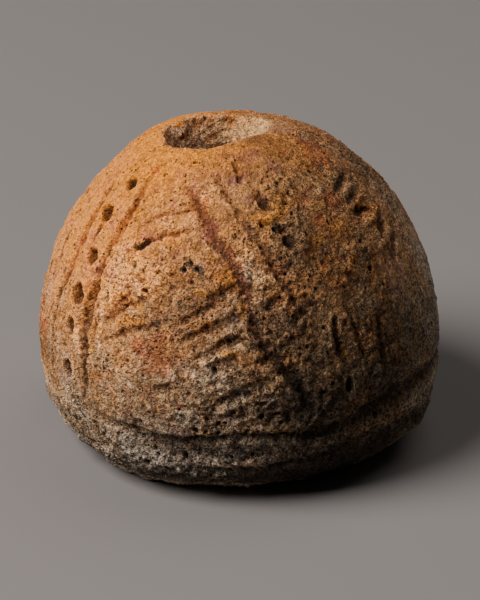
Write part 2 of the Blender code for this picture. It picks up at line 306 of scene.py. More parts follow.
# Long incised lines: how soft the trough is, how much grime and painted shade it holds, then azimuth, level,
# width and depth along it.
LINES = (
    (0.5, 1, ((-75, 27.6, 60, 4), (-74, 27, 80, 18), (-72, 26.2, 100, 38), (-70, 24.6, 110, 46),
        (-69, 23.4, 120, 44), (-69, 22.3, 120, 36), (-68, 20.6, 100, 24), (-68, 18.8, 90, 36),
        (-69, 17, 90, 42), (-69, 15.4, 80, 30), (-69, 13.6, 70, 34), (-68, 11.6, 70, 20), (-67, 9, 60, 6))),
    (0.4, 1, ((-54, 30, 40, 6), (-53, 29.3, 60, 16), (-52, 28.5, 70, 22), (-51, 27.8, 100, 32),
        (-50, 26.8, 110, 42), (-50, 25.2, 120, 38), (-50, 24, 120, 32), (-51, 22.8, 100, 18),
        (-51, 21.6, 100, 26), (-51, 20.2, 130, 52), (-51, 19, 140, 66), (-51, 17.4, 150, 70),
        (-51, 16, 140, 60), (-51, 14.8, 130, 54), (-50, 13.7, 150, 72), (-50, 12.4, 110, 46),
        (-49, 11, 100, 34), (-49, 9.6, 90, 24), (-49, 8.6, 60, 6))),
    (0.5, 1, ((-30, 29.5, 80, 5), (-28, 29.2, 90, 12), (-20, 28.4, 110, 24), (-15, 27.5, 130, 34),
        (-9, 26, 140, 36), (-3, 24.7, 150, 38), (0, 23.4, 140, 40), (2, 22.3, 130, 42), (3, 21, 130, 42),
        (4, 19.6, 130, 40), (5, 18.4, 140, 52), (7, 17.2, 150, 46), (10, 15.9, 150, 42), (14, 14.4, 170, 54),
        (17, 12.9, 160, 48), (19, 11.4, 130, 26), (21, 10, 110, 8))),
    (0.5, 0.38, ((-14, 30.3, 70, 8), (-9, 29.8, 90, 30), (-5, 29.1, 100, 44), (-1, 28.3, 100, 32),
        (4, 27.1, 100, 20), (10, 25.4, 110, 20), (13, 23.6, 120, 32), (16, 22, 120, 42), (18, 20.8, 110, 40),
        (20, 19.6, 110, 28), (21, 18.4, 90, 6))),
    (0.8, 0.45, ((7, 19.4, 70, 6), (9, 20.3, 90, 16), (11, 20.8, 90, 18), (15, 21.1, 60, 5))),
    (0.8, 0.45, ((16, 18.6, 80, 8), (18, 19.2, 110, 24), (20, 19.7, 100, 20), (24, 20.4, 70, 6))),
    (0.1, 0.45, ((-62, 25, 35, 30), (-60.5, 24.4, 35, 35), (-61, 23.7, 30, 28), (-61.5, 23.2, 20, 5))),
)

# Short slanted strokes, as above.
STROKES = (
    (0.6, 1, ((-42, 25.2, 40, 4), (-38, 26.5, 55, 14), (-33, 27.1, 50, 14), (-26, 27.5, 50, 16),
        (-19, 28, 50, 22), (-17, 28.2, 40, 5))),
    (0.3, 1, ((-42, 23.6, 40, 6), (-38, 24.3, 70, 36), (-36, 24.8, 70, 38), (-33, 25.2, 50, 22),
        (-29, 25.7, 70, 24), (-24, 26.1, 70, 28), (-19, 26.4, 40, 10))),
    (0.5, 1, ((-45, 17.2, 40, 5), (-41, 18, 70, 36), (-37, 19.2, 80, 44), (-33, 19.8, 60, 26),
        (-29, 20.6, 40, 6))),
    (0.5, 1, ((-40, 19, 50, 15), (-38, 19.9, 90, 40), (-35, 20.5, 50, 12))),
    (0.6, 1, ((-42, 15.7, 40, 6), (-37, 16.6, 80, 30), (-31, 17.7, 80, 30), (-25, 18.3, 70, 16),
        (-22, 18.7, 50, 4))),
    (0.5, 0.55, ((-18, 18.7, 50, 5), (-15, 19.4, 80, 26), (-11, 20.2, 90, 34), (-6, 21, 80, 28),
        (-3, 21.3, 60, 8))),
    (0.5, 0.55, ((-14, 20.3, 60, 6), (-9, 21.1, 70, 20), (-5, 21.8, 90, 32), (-1, 22.2, 80, 24),
        (1, 22.5, 60, 6))),
    (0.5, 0.55, ((-18, 17, 50, 5), (-14, 17.7, 80, 24), (-9, 18.5, 110, 38), (-4, 19.2, 100, 34),
        (0, 19.7, 90, 24), (2, 19.9, 70, 8))),
    (0.5, 0.55, ((-13, 15.7, 50, 5), (-8, 16.6, 80, 26), (-3, 17.4, 110, 42), (1, 17.7, 80, 28),
        (3, 17.9, 60, 6))),
    (0.8, 0.45, ((-11, 10.8, 80, 8), (-7, 11.4, 120, 26), (-2, 12.2, 130, 36), (3, 12.9, 120, 36),
        (8, 13.6, 100, 18), (11, 14.1, 80, 5))),
    (0.7, 0.85, ((72, 28.6, 70, 6), (67, 28.5, 90, 20), (61, 28.3, 100, 28), (55, 28.1, 80, 14),
        (53, 28, 50, 4))),
    (0.8, 0.85, ((66, 27.4, 80, 6), (63, 27.2, 110, 20), (58, 26.9, 110, 20), (55, 26.7, 70, 5))),
    (0.4, 0.85, ((65, 25.7, 60, 10), (62, 25.9, 90, 40), (59, 26, 110, 54), (56, 25.9, 70, 15))),
    (0.7, 0.85, ((70, 24.9, 70, 6), (68, 24.6, 90, 30), (65, 24, 110, 46), (63, 23.4, 80, 10))),
    (0.9, 0.85, ((72, 22.9, 80, 8), (68, 22.5, 110, 30), (64, 21.7, 110, 28), (62, 21.2, 60, 4))),
    (0.6, 0.45, ((10, 29.3, 70, 6), (12, 28.9, 120, 50), (13.5, 28.3, 110, 52), (15, 27.7, 60, 5))),
    (0.6, 0.45, ((17, 26.8, 80, 8), (19, 26.3, 130, 56), (20.5, 25.5, 120, 58), (22, 24.7, 60, 5))),
    (0.4, 0.45, ((30, 19.2, 50, 8), (30, 18.2, 80, 40), (30, 17, 80, 34), (30, 16, 100, 60),
        (30.5, 15, 90, 44), (32, 14.3, 50, 5))),
    (0.6, 0.45, ((35, 19.2, 50, 5), (36, 17.8, 60, 22), (37, 16.2, 70, 26), (38, 14.6, 80, 28),
        (39, 13.2, 70, 18), (40, 12, 40, 4))),
    (0.8, 0.45, ((46, 18, 60, 6), (46, 16.8, 90, 28), (45, 15, 80, 22), (45, 13.6, 100, 26),
        (45, 12, 70, 5))),
    (0.3, 0.45, ((-2, 31.1, 60, 12), (0, 30.8, 85, 45), (2, 30.3, 85, 50), (3, 29.9, 60, 30))),
)

# Raised clay beside the marks: azimuth, level, width and height along each.
RIDGES = (
    ((17, 29.6, 70, 10), (20.5, 28.9, 90, 34), (20.5, 28, 90, 36), (17, 27.5, 90, 30), (11, 27.4, 80, 24),
        (8, 27.9, 60, 6)),
    ((25, 27.2, 60, 6), (26, 26, 80, 22), (26, 25, 80, 22), (22, 24, 70, 10)),
    ((13, 26, 60, 8), (15, 25, 80, 24), (18, 24.2, 70, 14)),
    ((-24, 23.6, 50, 6), (-20, 24.3, 70, 16), (-13, 24.6, 70, 14), (-9, 24.2, 50, 5)),
    ((-49, 22.2, 50, 10), (-44, 22, 80, 22), (-38, 21.6, 80, 22), (-33, 22.2, 60, 10)),
    ((-43, 20.9, 50, 6), (-39, 21.1, 70, 18), (-34, 21.3, 50, 6)),
    ((-54, 17.6, 40, 6), (-55, 16.4, 60, 20), (-55, 14.8, 60, 18), (-54, 13.4, 40, 6)),
    ((-47, 18, 40, 6), (-47.5, 16.2, 60, 22), (-47, 14.4, 60, 20), (-46, 12.6, 40, 6)),
    ((-27, 12.4, 50, 5), (-21, 13.2, 60, 26), (-17, 14, 50, 10)),
    ((-13, 15.1, 40, 5), (-8, 15.7, 50, 22), (-3, 16.4, 60, 14), (0, 16.9, 40, 4)),
    ((-16, 18, 60, 6), (-11, 19.1, 80, 14), (-4, 20.3, 90, 16), (0, 20.8, 70, 8)),
    ((-6, 17.9, 60, 6), (-1, 18.5, 80, 18), (4, 19, 70, 10)),
    ((-12, 15, 50, 8), (-7, 15.8, 60, 20), (-3, 16.4, 50, 10)),
    ((-14, 21.5, 80, 6), (-7, 22.4, 110, 20), (-2, 23.3, 110, 22), (0, 24.2, 90, 8)),
    ((-21, 9.6, 50, 10), (-17, 10.2, 60, 22), (-14, 11.4, 60, 16), (-11, 11.6, 50, 6)),
    ((-44, 16.4, 50, 6), (-38, 17.6, 70, 18), (-34, 18.6, 70, 18), (-31, 19.4, 50, 6)),
    ((-36, 25.8, 50, 5), (-31, 26.3, 70, 16), (-27, 26.8, 60, 10)),
    ((50, 27.4, 60, 10), (58, 27.6, 70, 20), (66, 27.8, 60, 15)),
    ((52, 26.6, 60, 10), (58, 26.7, 70, 20), (66, 26.8, 60, 15)),
    ((58, 24.9, 70, 10), (64, 25.1, 90, 26), (70, 25.4, 70, 10)),
    ((58, 22.8, 80, 10), (64, 23.1, 90, 24), (71, 23.8, 70, 10)),
)

# Pricked dots: azimuth, level, half width, half length, depth and the degrees by which the top leans right.
DOTS = (
    (-62, 28.2, 82, 74, 90, 20), (-63, 25.5, 105, 96, 105, 15), (-58, 22, 92, 88, 110, 0),
    (-53, 21.1, 50, 44, 26, 0), (-58, 18.3, 98, 102, 105, -10), (-58, 15.2, 86, 86, 90, 0),
    (-57, 10.9, 72, 95, 90, -10), (59, 26.3, 30, 34, 55, 40), (10.5, 26.9, 24, 24, 40, 0),
    (32, 12.1, 44, 80, 55, 0), (49, 21.7, 27, 27, 55, 0), (52, 19.9, 18, 27, 40, 20),
    (-7, 14.8, 43, 26, 50, 60), (16, 13.1, 28, 40, 55, 50), (-31, 21, 33, 24, 42, 40),
    (-37, 15, 20, 26, 45, 10), (-49, 13.6, 55, 42, 55, 0), (-27, 4, 35, 35, 50, 0),
    (-55, 5.6, 35, 30, 45, 0), (-32, 29.9, 17, 20, 35, 0), (13, 28.5, 62, 66, 60, 30),
    (20.3, 25.7, 62, 80, 60, 30), (-30, 29.6, 17, 20, 35, 0), (-16.5, 23.9, 26, 20, 30, 50),
    (-14, 23.4, 30, 18, 30, 60), (-18.5, 23.3, 20, 20, 26, 0), (15.5, 26.5, 34, 22, 22, 70),
    (10, 27, 20, 22, 30, 0),
)

# Small pits: azimuth, level, radius.
PITS = (
    (-88, 28.2, 13), (-73, 27, 20), (-82, 25.2, 12), (-33, 30.6, 22), (-31, 30.8, 22), (-46, 29.6, 20),
    (-35, 27.8, 20), (-32, 28.2, 12), (-61, 26.9, 14), (-60, 26.6, 10), (-20, 28.3, 16), (-12, 26.3, 16),
    (-9, 25.9, 22), (-2, 26.2, 14), (-71, 20.1, 20), (-52, 19.9, 30), (-37, 22.7, 12), (-28, 22.7, 26),
    (0, 23.7, 18), (-72, 30.4, 20), (-66, 22.2, 14), (-44, 24.2, 13), (-31, 24.9, 13), (-25, 27.3, 12),
    (54, 31.8, 20), (69, 31.2, 20), (85, 30.5, 30), (90, 29.2, 26), (89, 28, 20), (16, 30.7, 18),
    (20, 30.1, 24), (37, 31, 18), (41, 30.8, 18), (33, 29, 20), (37, 29, 18), (36, 28.4, 18), (25, 27.5, 20),
    (28, 25.8, 26), (40, 26.2, 18), (69, 29.4, 18), (43, 22.6, 18), (39, 22.4, 20), (58, 21.4, 18),
    (74, 16.3, 20), (25, 22.6, 20), (26, 21.5, 18), (22, 21.7, 20), (36, 21, 20), (34, 21.5, 16),
    (14, 23.5, 20), (-50, 19, 20), (-37, 19.7, 20), (-43, 17.7, 18), (-69, 14.3, 24), (-50, 11.1, 26),
    (-49, 9.8, 20), (-36, 13, 16), (-67, 7.4, 20), (-61, 2.9, 26), (-7, 14.7, 16), (-8, 11.7, 24),
    (3, 12.5, 24), (-17, 10.6, 22), (-26, 9.8, 20), (-12, 8.7, 28), (-6, 8.4, 28), (2, 8.6, 34),
    (5, 8.6, 26), (-31, 7.5, 20), (-24, 5.9, 26), (-21, 3.9, 28), (-37, 3, 28), (-15, 5.6, 28),
    (8, 19.5, 20), (0, 19.3, 24), (23, 20.2, 20), (14, 17.7, 20), (0, 17.4, 24), (13, 14.5, 30),
    (3, 12.6, 20), (10, 10.5, 24), (66, 15, 20), (69, 9.5, 24), (45, 9.5, 24), (24, 29.6, 26),
    (12, 29.2, 22), (18, 29.4, 20), (15, 29.8, 18), (21, 28.9, 20), (27, 28.8, 18), (30, 28.2, 18),
    (24, 28.2, 22), (8, 29.6, 16), (31, 30.2, 18), (28, 30.8, 20), (45, 29.6, 18), (-4, 9.6, 24),
    (-9, 9.9, 22), (7, 11.6, 22), (-14, 12.4, 20), (20, 16.6, 22), (26, 18, 20), (-62, 5.2, 30),
    (-42, 5.6, 26), (-33, 6.2, 22), (-8, 3.4, 30), (4, 6.2, 26), (-2, 5.8, 24),
)

# The groove round the foot, and a shorter one below it in front: azimuth, level, width, depth.
FOOT_GROOVE = (
    (-180, 7.4, 100, 20), (-140, 7.3, 110, 34), (-110, 7.6, 110, 26), (-85, 8, 90, 8), (-60, 8.4, 90, 5),
    (-46, 8.3, 100, 12), (-36, 7.5, 120, 22), (-24, 7.2, 130, 26), (-11, 7.4, 130, 24), (-4, 8.2, 110, 34),
    (3, 8.4, 110, 38), (13, 7.9, 120, 40), (22, 7.6, 140, 42), (32, 8.2, 220, 50), (45, 9.2, 280, 62),
    (58, 9.3, 260, 60), (70, 8.8, 180, 46), (90, 8.6, 110, 30), (130, 8, 110, 36),
)
BASE_GROOVE = (
    (-180, 4.2, 80, 0), (-30, 4.2, 80, 0), (-10, 4.4, 80, 10), (0, 4.2, 90, 30), (8, 4.3, 90, 32),
    (18, 5, 90, 26), (32, 5.4, 80, 0), (180, 4.2, 80, 0),
)
# The edge of a flake that has come away above the base: azimuth, level, width and depth.
LEDGE = (
    (-65, 5, 50, 10), (-60, 4.4, 60, 40), (-51, 4, 60, 40), (-43, 3.6, 60, 40), (-40, 2.2, 50, 30),
    (-38, 1.2, 40, 5),
)

# The bands of dots between two lines, and the panels of strokes, repeated at the back.
BACK_BANDS = (112, 178, -118)
BAND_HALF_ANGLE = 10
BAND_TOP = 29.2
BAND_FOOT = 9.8
BAND_DOTS = 6
BACK_PANELS = ((129, 22), (-162, 22), (-107, 15))
PANEL_STROKES = 4
PANEL_LOW = 12.0
PANEL_PITCH = 3.6
PANEL_RISE = 2.0
# How much grime and painted shade the marks at the back hold.
BACK_GRIME_AND_SHADE = 0.6
# How closely the path of a mark is followed.
PATH_SPACING = 0.35


def back_lines():
    """The lines beside each band at the back."""
    for middle in BACK_BANDS:
        for side in (-1, 1):
            place = middle + side * BAND_HALF_ANGLE
            depths = (4, 16, 30, 20, 32, 14, 34, 22, 4)
            levels = np.linspace(BAND_TOP, BAND_FOOT + 1.5 * np.sin(place), len(depths))
            yield 0.6, BACK_GRIME_AND_SHADE, [
                (place + np.sin(level + place), level, 50 + depth, depth)
                for level, depth in zip(levels, depths)
            ]


def back_strokes():
    """The strokes in each panel at the back."""
    for start, span in BACK_PANELS:
        for index in range(PANEL_STROKES):
            low = PANEL_LOW + PANEL_PITCH * index + 0.5 * np.sin(start + 3 * index)
            first = start + 2.0 * np.sin(start + 5 * index)
            yield 0.7, BACK_GRIME_AND_SHADE, [
                (first + span * share, low + PANEL_RISE * share, 50 + depth, depth)
                for share, depth in ((0, 4), (0.2, 18), (0.5, 28), (0.8, 20), (1, 4))
            ]


def back_dots():
    """The dots along each band at the back."""
    pitch = (BAND_TOP - BAND_FOOT) / BAND_DOTS
    for middle in BACK_BANDS:
        for index in range(BAND_DOTS):
            off = np.sin(middle + 4 * index)
            height = BAND_TOP - pitch * (index + 0.4 + 0.12 * off)
            yield middle + off, height, 60 - 14 * off, 70, 60, 12 * off


def along(knots):
    """Points on a smooth curve through the knots on the plain body, and the mark's width and depth there."""
    knots = np.array(knots) / MARK_UNITS
    ends = np.vstack((2 * knots[0] - knots[1], knots, 2 * knots[-1] - knots[-2]))
    curve = []
    for k in range(len(knots) - 1):
        a, b, c, d = ends[k : k + 4]
        span = np.linalg.norm(body_point(b[0], b[1]) - body_point(c[0], c[1]))
        for t in np.arange(0.0, 1.0, PATH_SPACING / max(span, PATH_SPACING)):
            bend = -a + 3 * b - 3 * c + d
            place = b + 0.5 * t * (c - a + t * (2 * a - 5 * b + 4 * c - d + t * bend))
            place[2:] = mix(b, c, t)[2:]
            curve.append(place)
    curve.append(knots[-1])
    curve = np.array(curve)
    return body_point(curve[:, 0], curve[:, 1]), curve[:, 2], curve[:, 3]


def near_box(points, low, high, margin):
    return np.all((points > low - margin) & (points < high + margin), axis=-1)


def follow(points, normals, knots, seed):
    """Which points are near a path, how far across it each is in half widths, and the path's size there."""
    path, widths, sizes = along(knots)
    chosen = near_box(points, path.min(0), path.max(0), widths.max() + 0.8)
    here = points[chosen]
    out = normals[chosen]
    nearest = np.full(len(here), 1e9)
    width = np.full(len(here), 1.0)
    size = np.zeros(len(here))
    for k in range(len(path) - 1):
        run = path[k + 1] - path[k]
        t = unit((here - path[k]) @ run / (run @ run))
        gap = here - path[k] - t[:, None] * run
        gap = np.linalg.norm(gap - (gap * out).sum(1)[:, None] * out, axis=1)
        closer = gap < nearest
        nearest[closer] = gap[closer]
        width[closer] = mix(widths[k], widths[k + 1], t)[closer]
        size[closer] = mix(sizes[k], sizes[k + 1], t)[closer]
    uneven = 0.28 * rough(here, 0.9, seed, 3, 0.9)
    across = np.maximum(nearest + uneven, 0.0) / (width / 2)
    return chosen, across, size * (1 + 0.3 * noise(here, 1.6, seed + 7))


def carve(relief, dirt_and_shade, points, normals, soft, grime_and_shade, knots, seed):
    """Cuts a groove along the knots, with uneven edges, a slight lip and grime and painted shade in it."""
    chosen, across, depth = follow(points, normals, knots, seed)
    crisp = unit(1.0 - across**2) ** 0.8
    gentle = np.exp(-1.4 * across**2)
    lip = 0.05 * unit(depth / 0.3) * np.exp(-(((across - 1.35) / 0.4) ** 2))
    relief[chosen] = np.minimum(relief[chosen], -depth * mix(crisp, gentle, soft)) + lip
    # Grime and painted shade in the groove, more where it is deeper.
    held = grime_and_shade * unit(depth / 0.20) * unit(1.35 - across)
    dirt_and_shade[chosen] = np.maximum(dirt_and_shade[chosen], held)


def heap(relief, points, normals, knots, seed):
    """Raises a ridge along the knots."""
    chosen, across, height = follow(points, normals, knots, seed)
    relief[chosen] += height * np.exp(-1.2 * across**2)


def prick(relief, dark, points, dot, seed, ragged=0.22):
    """Presses one oval dot into the surface."""
    azimuth, level, half_width, half_length, depth, leaning = np.array(dot) / DOT_UNITS
    centre = body_point(azimuth, level)
    chosen = near_box(points, centre, centre, max(half_length, half_width) + 0.6)
    here = points[chosen] - centre
    turn = np.radians(azimuth)
    around = np.array((np.cos(turn), np.sin(turn), 0.0))
    slope = body_point(azimuth, level + 0.1) - centre
    slope /= np.linalg.norm(slope)
    lean_angle = np.radians(leaning)
    u = here @ (around * np.cos(lean_angle) - slope * np.sin(lean_angle))
    v = here @ (slope * np.cos(lean_angle) + around * np.sin(lean_angle))
    warp = 1.0 + ragged * rough(points[chosen], 0.4 + half_width, seed, 2, 0.8)
    across = np.sqrt((u / half_width) ** 2 + (v / half_length) ** 2) * warp
    pit = -depth * unit(1.0 - across**2) ** 0.6
    ridge = 0.10 * half_width * np.exp(-(((across - 1.2) / 0.25) ** 2))
    relief[chosen] = np.minimum(relief[chosen], pit) + ridge
    # The dot is darkened by its depth, as dirt and painted shade.
    strength = (1.1 - ragged) * min(1.0, 0.5 + 0.6 * depth)
    dark[chosen] = np.maximum(dark[chosen], strength * step(1.15, 0.75, across))


def ring_groove(relief, dirt_and_shade, points, azimuth, level, table, seed):
    """Cuts a groove that runs round the whorl."""
    table = np.array(table) / MARK_UNITS
    middle, width, depth = (round_curve(table[:, (0, k)], azimuth) for k in (1, 2, 3))
    off = level - middle + 0.22 * rough(points, 1.6, seed, 3, 0.6)
    across = np.abs(off) / (width / 2) * np.where(off > 0, 1.25, 0.85)
    depth = depth * (1 + 0.35 * noise(points, 2.5, seed + 1))
    np.minimum(relief, -depth * np.exp(-1.3 * across**2), out=relief, where=across < 2.4)
    # Grime and painted shade in the groove, more where it is deeper.
    np.maximum(dirt_and_shade, unit(depth / 0.3) * unit(1.4 - across), out=dirt_and_shade)


# ---- where the clay is smooth, crusted, burnt or stained

# Spots are azimuth, level, half width, half height and strength.
SMOOTH = (
    (-15, 14.2, 2.2, 1.6, 0.4), (-17, 12.8, 2.6, 0.9, 0.4), (-75, 28, 12, 6, 1), (-40, 28.5, 8, 3.6, 1),
    (-100, 24, 14, 7, 0.9), (-20, 30, 5, 2, 0.7), (-76, 20, 3, 6, 0.6), (5, 30.5, 5, 1.5, 0.4),
    (62, 19.5, 3, 3.5, 0.7), (70, 24, 3, 4, 0.4), (-58, 21, 1.2, 7, 0.5),
)
CREAM = (
    (-44, 23, 2.2, 1.6, 1.2), (-43, 19, 1, 0.9, 1), (-33, 22.5, 1.8, 1, 1.1), (-40, 21.4, 2.2, 1.3, 1.1),
    (-46, 20.6, 1, 1.6, 0.9), (-33, 21.3, 1.4, 0.8, 0.8), (-15, 29, 0.8, 0.8, 1), (3, 24.5, 1, 1.2, 1),
    (4, 21, 0.8, 1.2, 0.8), (-15, 14, 2.2, 0.9, 1), (-33, 13, 1.6, 1.3, 0.9), (-45, 16.5, 0.8, 2.4, 0.7),
    (0, 17.5, 1, 1.2, 0.7), (-11, 12.5, 2.4, 1.2, 1), (28, 29.5, 0.9, 0.9, 0.7), (-3, 12, 2.6, 1.8, 0.9),
    (-19, 10.5, 2.2, 1.3, 0.9), (-55, 13.5, 1.2, 3, 0.6), (-58, 7.5, 2.4, 1.6, 0.8), (-36, 7, 0.5, 0.5, 1.3),
    (12, 17, 1.2, 1.6, 0.6), (-30, 4, 6, 1.4, 0.6), (-5, 3, 5, 1.2, 0.5), (-10, 15.6, 0.8, 0.28, 0.9),
    (-5.5, 16.1, 0.9, 0.28, 0.6), (-22, 13.2, 1.6, 0.25, 0.8), (9, 22.5, 0.8, 0.8, 0.7),
    (13, 20.5, 1, 1, 0.5), (-30, 26.6, 0.9, 0.6, 0.8), (-60, 17, 0.7, 1.4, 0.5),
)
RED = (
    (-25, 15, 1.7, 1.7, 0.9), (-30, 16.2, 0.9, 0.8, 0.8), (-23, 17.3, 1.2, 0.6, 0.8),
    (-22, 14.3, 0.6, 0.6, 1), (70, 30.5, 2.2, 0.9, 0.6), (48, 27.5, 1.1, 0.8, 1.1), (36, 26.5, 0.9, 0.8, 1),
    (54, 22.5, 0.7, 0.6, 0.9), (26, 24.5, 0.6, 0.4, 0.9), (39, 23.5, 1, 0.25, 0.8), (-21, 20, 0.4, 0.3, 1),
    (-18, 19.5, 0.4, 0.4, 1), (-55, 29.6, 1, 0.5, 0.7), (-58, 27.3, 1, 0.4, 0.7), (-14, 28.3, 0.7, 0.8, 0.5),
    (-10, 26, 0.3, 0.5, 0.6), (-39, 13, 0.4, 0.6, 0.8), (-41, 11, 0.5, 0.9, 0.7), (-24, 6.5, 0.4, 0.3, 1),
    (-17, 11, 0.5, 0.6, 0.7), (-76, 12.8, 0.9, 2.6, 0.9), (-84, 12.5, 1, 3, 1), (34, 28.6, 1.4, 0.8, 0.6),
    (66, 29.7, 1.7, 0.9, 0.55), (31, 23.4, 0.5, 0.3, 0.8), (45, 25.6, 0.5, 0.9, 0.5),
    (15, 24.6, 0.4, 0.4, 0.7), (-26, 12, 2, 1, 0.5), (140, 22, 3, 2, 0.8), (-150, 14, 2.4, 2.8, 0.8),
    (175, 12, 2, 2, 0.6), (110, 14, 1.6, 2.4, 0.6),
)
# The ochre spot at azimuth 31.5 is orange clay on a stroke's lit wall, partly painted light.
OCHRE = (
    (-3, 23, 1.3, 0.9, 1), (-11, 21.7, 1.4, 0.6, 1), (-32, 19.5, 0.8, 0.5, 0.9), (-33, 18.3, 1.5, 0.5, 0.9),
    (-47, 14.5, 0.6, 0.8, 0.8), (1, 20.5, 0.6, 0.9, 1), (-3, 16.5, 1.4, 0.4, 0.8), (10, 27.5, 0.9, 0.6, 0.9),
    (23, 28.5, 0.9, 0.9, 0.5), (-24, 25.3, 2.2, 1, 0.8), (-7, 19, 1.2, 0.4, 0.6), (-62, 26, 2, 2.2, 0.6),
    (32, 25, 1.4, 0.8, 0.7), (44, 23, 1.4, 1, 0.6), (-46, 26.8, 1.2, 0.8, 0.6), (-57, 20.3, 0.6, 1.4, 0.7),
    (22, 8.6, 0.9, 0.5, 0.9), (20.5, 28.4, 0.9, 0.9, 0.9), (13, 27.4, 1.4, 0.4, 0.8),
    (31.5, 15.4, 0.35, 0.8, 0.9), (-42, 25.4, 1.4, 0.5, 0.5), (170, 26, 4, 2.4, 0.8),
    (-120, 20, 3.6, 3, 0.6),
)
SOOT = (
    (23, 9.5, 5, 3.4, 1), (36, 6.5, 5, 2.6, 1), (17, 13, 1.6, 2.4, 0.7), (8, 4.5, 5, 1.8, 0.7),
    (20, 2.8, 6, 1.6, 1), (43, 9.5, 3.6, 2.6, 0.62), (28, 15.5, 2.2, 2.6, 0.55), (44, 13.5, 4, 3, 0.58),
    (52, 3, 6, 1.8, 0.5), (-12, 6.2, 6, 1.2, 0.55), (-16, 1.6, 8, 1.2, 0.6), (120, 5, 10, 3, 0.5),
)
BLACK = (
    (-17.3, 23.8, 0.35, 0.25, 0.95), (-15, 23.8, 1.1, 0.33, 0.7), (-12.5, 23.6, 0.6, 0.3, 0.8),
    (-18.5, 23.2, 0.35, 0.4, 0.8), (-50, 23, 0.5, 0.4, 0.9), (-37, 23, 0.35, 0.25, 0.9),
    (-19, 20.5, 0.3, 0.4, 0.8), (16, 26.7, 0.25, 0.3, 0.5), (4, 22.6, 0.35, 1, 0.6),
    (3, 24.2, 0.35, 0.8, 0.5), (-49, 13.6, 0.5, 0.4, 1), (-70, 17, 0.3, 1.2, 0.7),
    (-72, 21.5, 0.4, 0.9, 0.5), (24, 29.6, 0.25, 0.25, 0.6), (-37, 24.5, 0.7, 0.28, 1.1),
    (-51, 27.4, 0.3, 0.5, 0.7), (4, 17.3, 0.35, 0.5, 0.8), (-2, 17.4, 0.9, 0.25, 0.7),
    (14, 26.3, 0.35, 0.3, 0.5), (25, 25.6, 0.35, 0.3, 0.6), (17.5, 26.5, 0.5, 0.4, 0.6),
    (27, 25, 0.4, 0.25, 0.55), (-80, 21.6, 0.5, 1.3, 0.9), (-79, 19.4, 0.4, 0.8, 0.7),
    (-76, 24.8, 0.35, 0.35, 0.9), (-84, 18, 0.5, 0.9, 0.7), (-71, 19.2, 0.5, 0.4, 0.8),
    (-64, 16.8, 0.4, 0.5, 0.6), (-66, 12.6, 0.3, 0.8, 0.6), (-86, 13, 0.4, 1.2, 0.6),
    (-38, 24.1, 0.4, 0.25, 1), (-61, 24, 0.2, 0.6, 1), (17, 13.1, 0.3, 0.4, 0.8), (41, 9.5, 1.6, 0.7, 0.5),
    (22, 8, 1, 0.4, 0.5),
)
# Crusts of coarse grains.
CRUMBLY = (
    (4, 13.5, 3, 4, 1), (15, 9, 5, 2.6, 0.9), (-6, 9, 6, 2.4, 0.9), (42, 13, 8, 6, 0.6), (50, 5, 9, 3, 0.8),
    (12, 3.5, 6, 1.6, 0.9), (14, 21, 2.5, 4, 0.55), (18, 28, 3, 1.4, 0.55), (5, 19.5, 2, 4, 0.5),
    (-26, 22, 5, 2, 0.5),
)
# Stretches with larger lumps and cracks.
LUMPY = (
    (-36, 21.8, 9, 2.2, 1), (-46, 16, 2, 3, 0.6), (2, 14, 6, 4, 1), (12, 22, 4, 5, 0.9),
    (-20, 9, 12, 2, 0.8), (-30, 3.5, 14, 2, 0.7), (24, 28, 4, 2, 0.7), (-17, 23.5, 3, 1.4, 0.9),
    (30, 9, 8, 4, 0.7), (-84, 20, 4, 6, 0.7), (-80, 11, 5, 3, 0.6), (40, 20, 5, 4, 0.5),
)
# Each patchwork: its spots, a seed, and how large and how ragged the bays and points of its edges are.
PATCHWORKS = {
    "smooth": (SMOOTH, 50, 3.0, 0.5),
    "cream": (CREAM, 51, 0.9, 0.5),
    "crumbly": (CRUMBLY, 53, 1.2, 0.4),
    "lumpy": (LUMPY, 54, 2.0, 0.4),
    "ochre": (OCHRE, 65, 0.9, 0.3),
    "rust": (RED, 66, 0.9, 0.3),
    "soot": (SOOT, 67, 1.6, 0.45),
    "black": (BLACK, 69, 0.6, 0.4),
}

# The edge below which the foot is covered in darker crust: azimuth and level.
FOOT_EDGE = (
    (-180, 5), (-90, 5), (-65, 6), (-52, 6.7), (-43, 7), (-31, 7.3), (-11, 7.5), (20, 7.2), (60, 7.4),
    (90, 6), (180, 5),
)
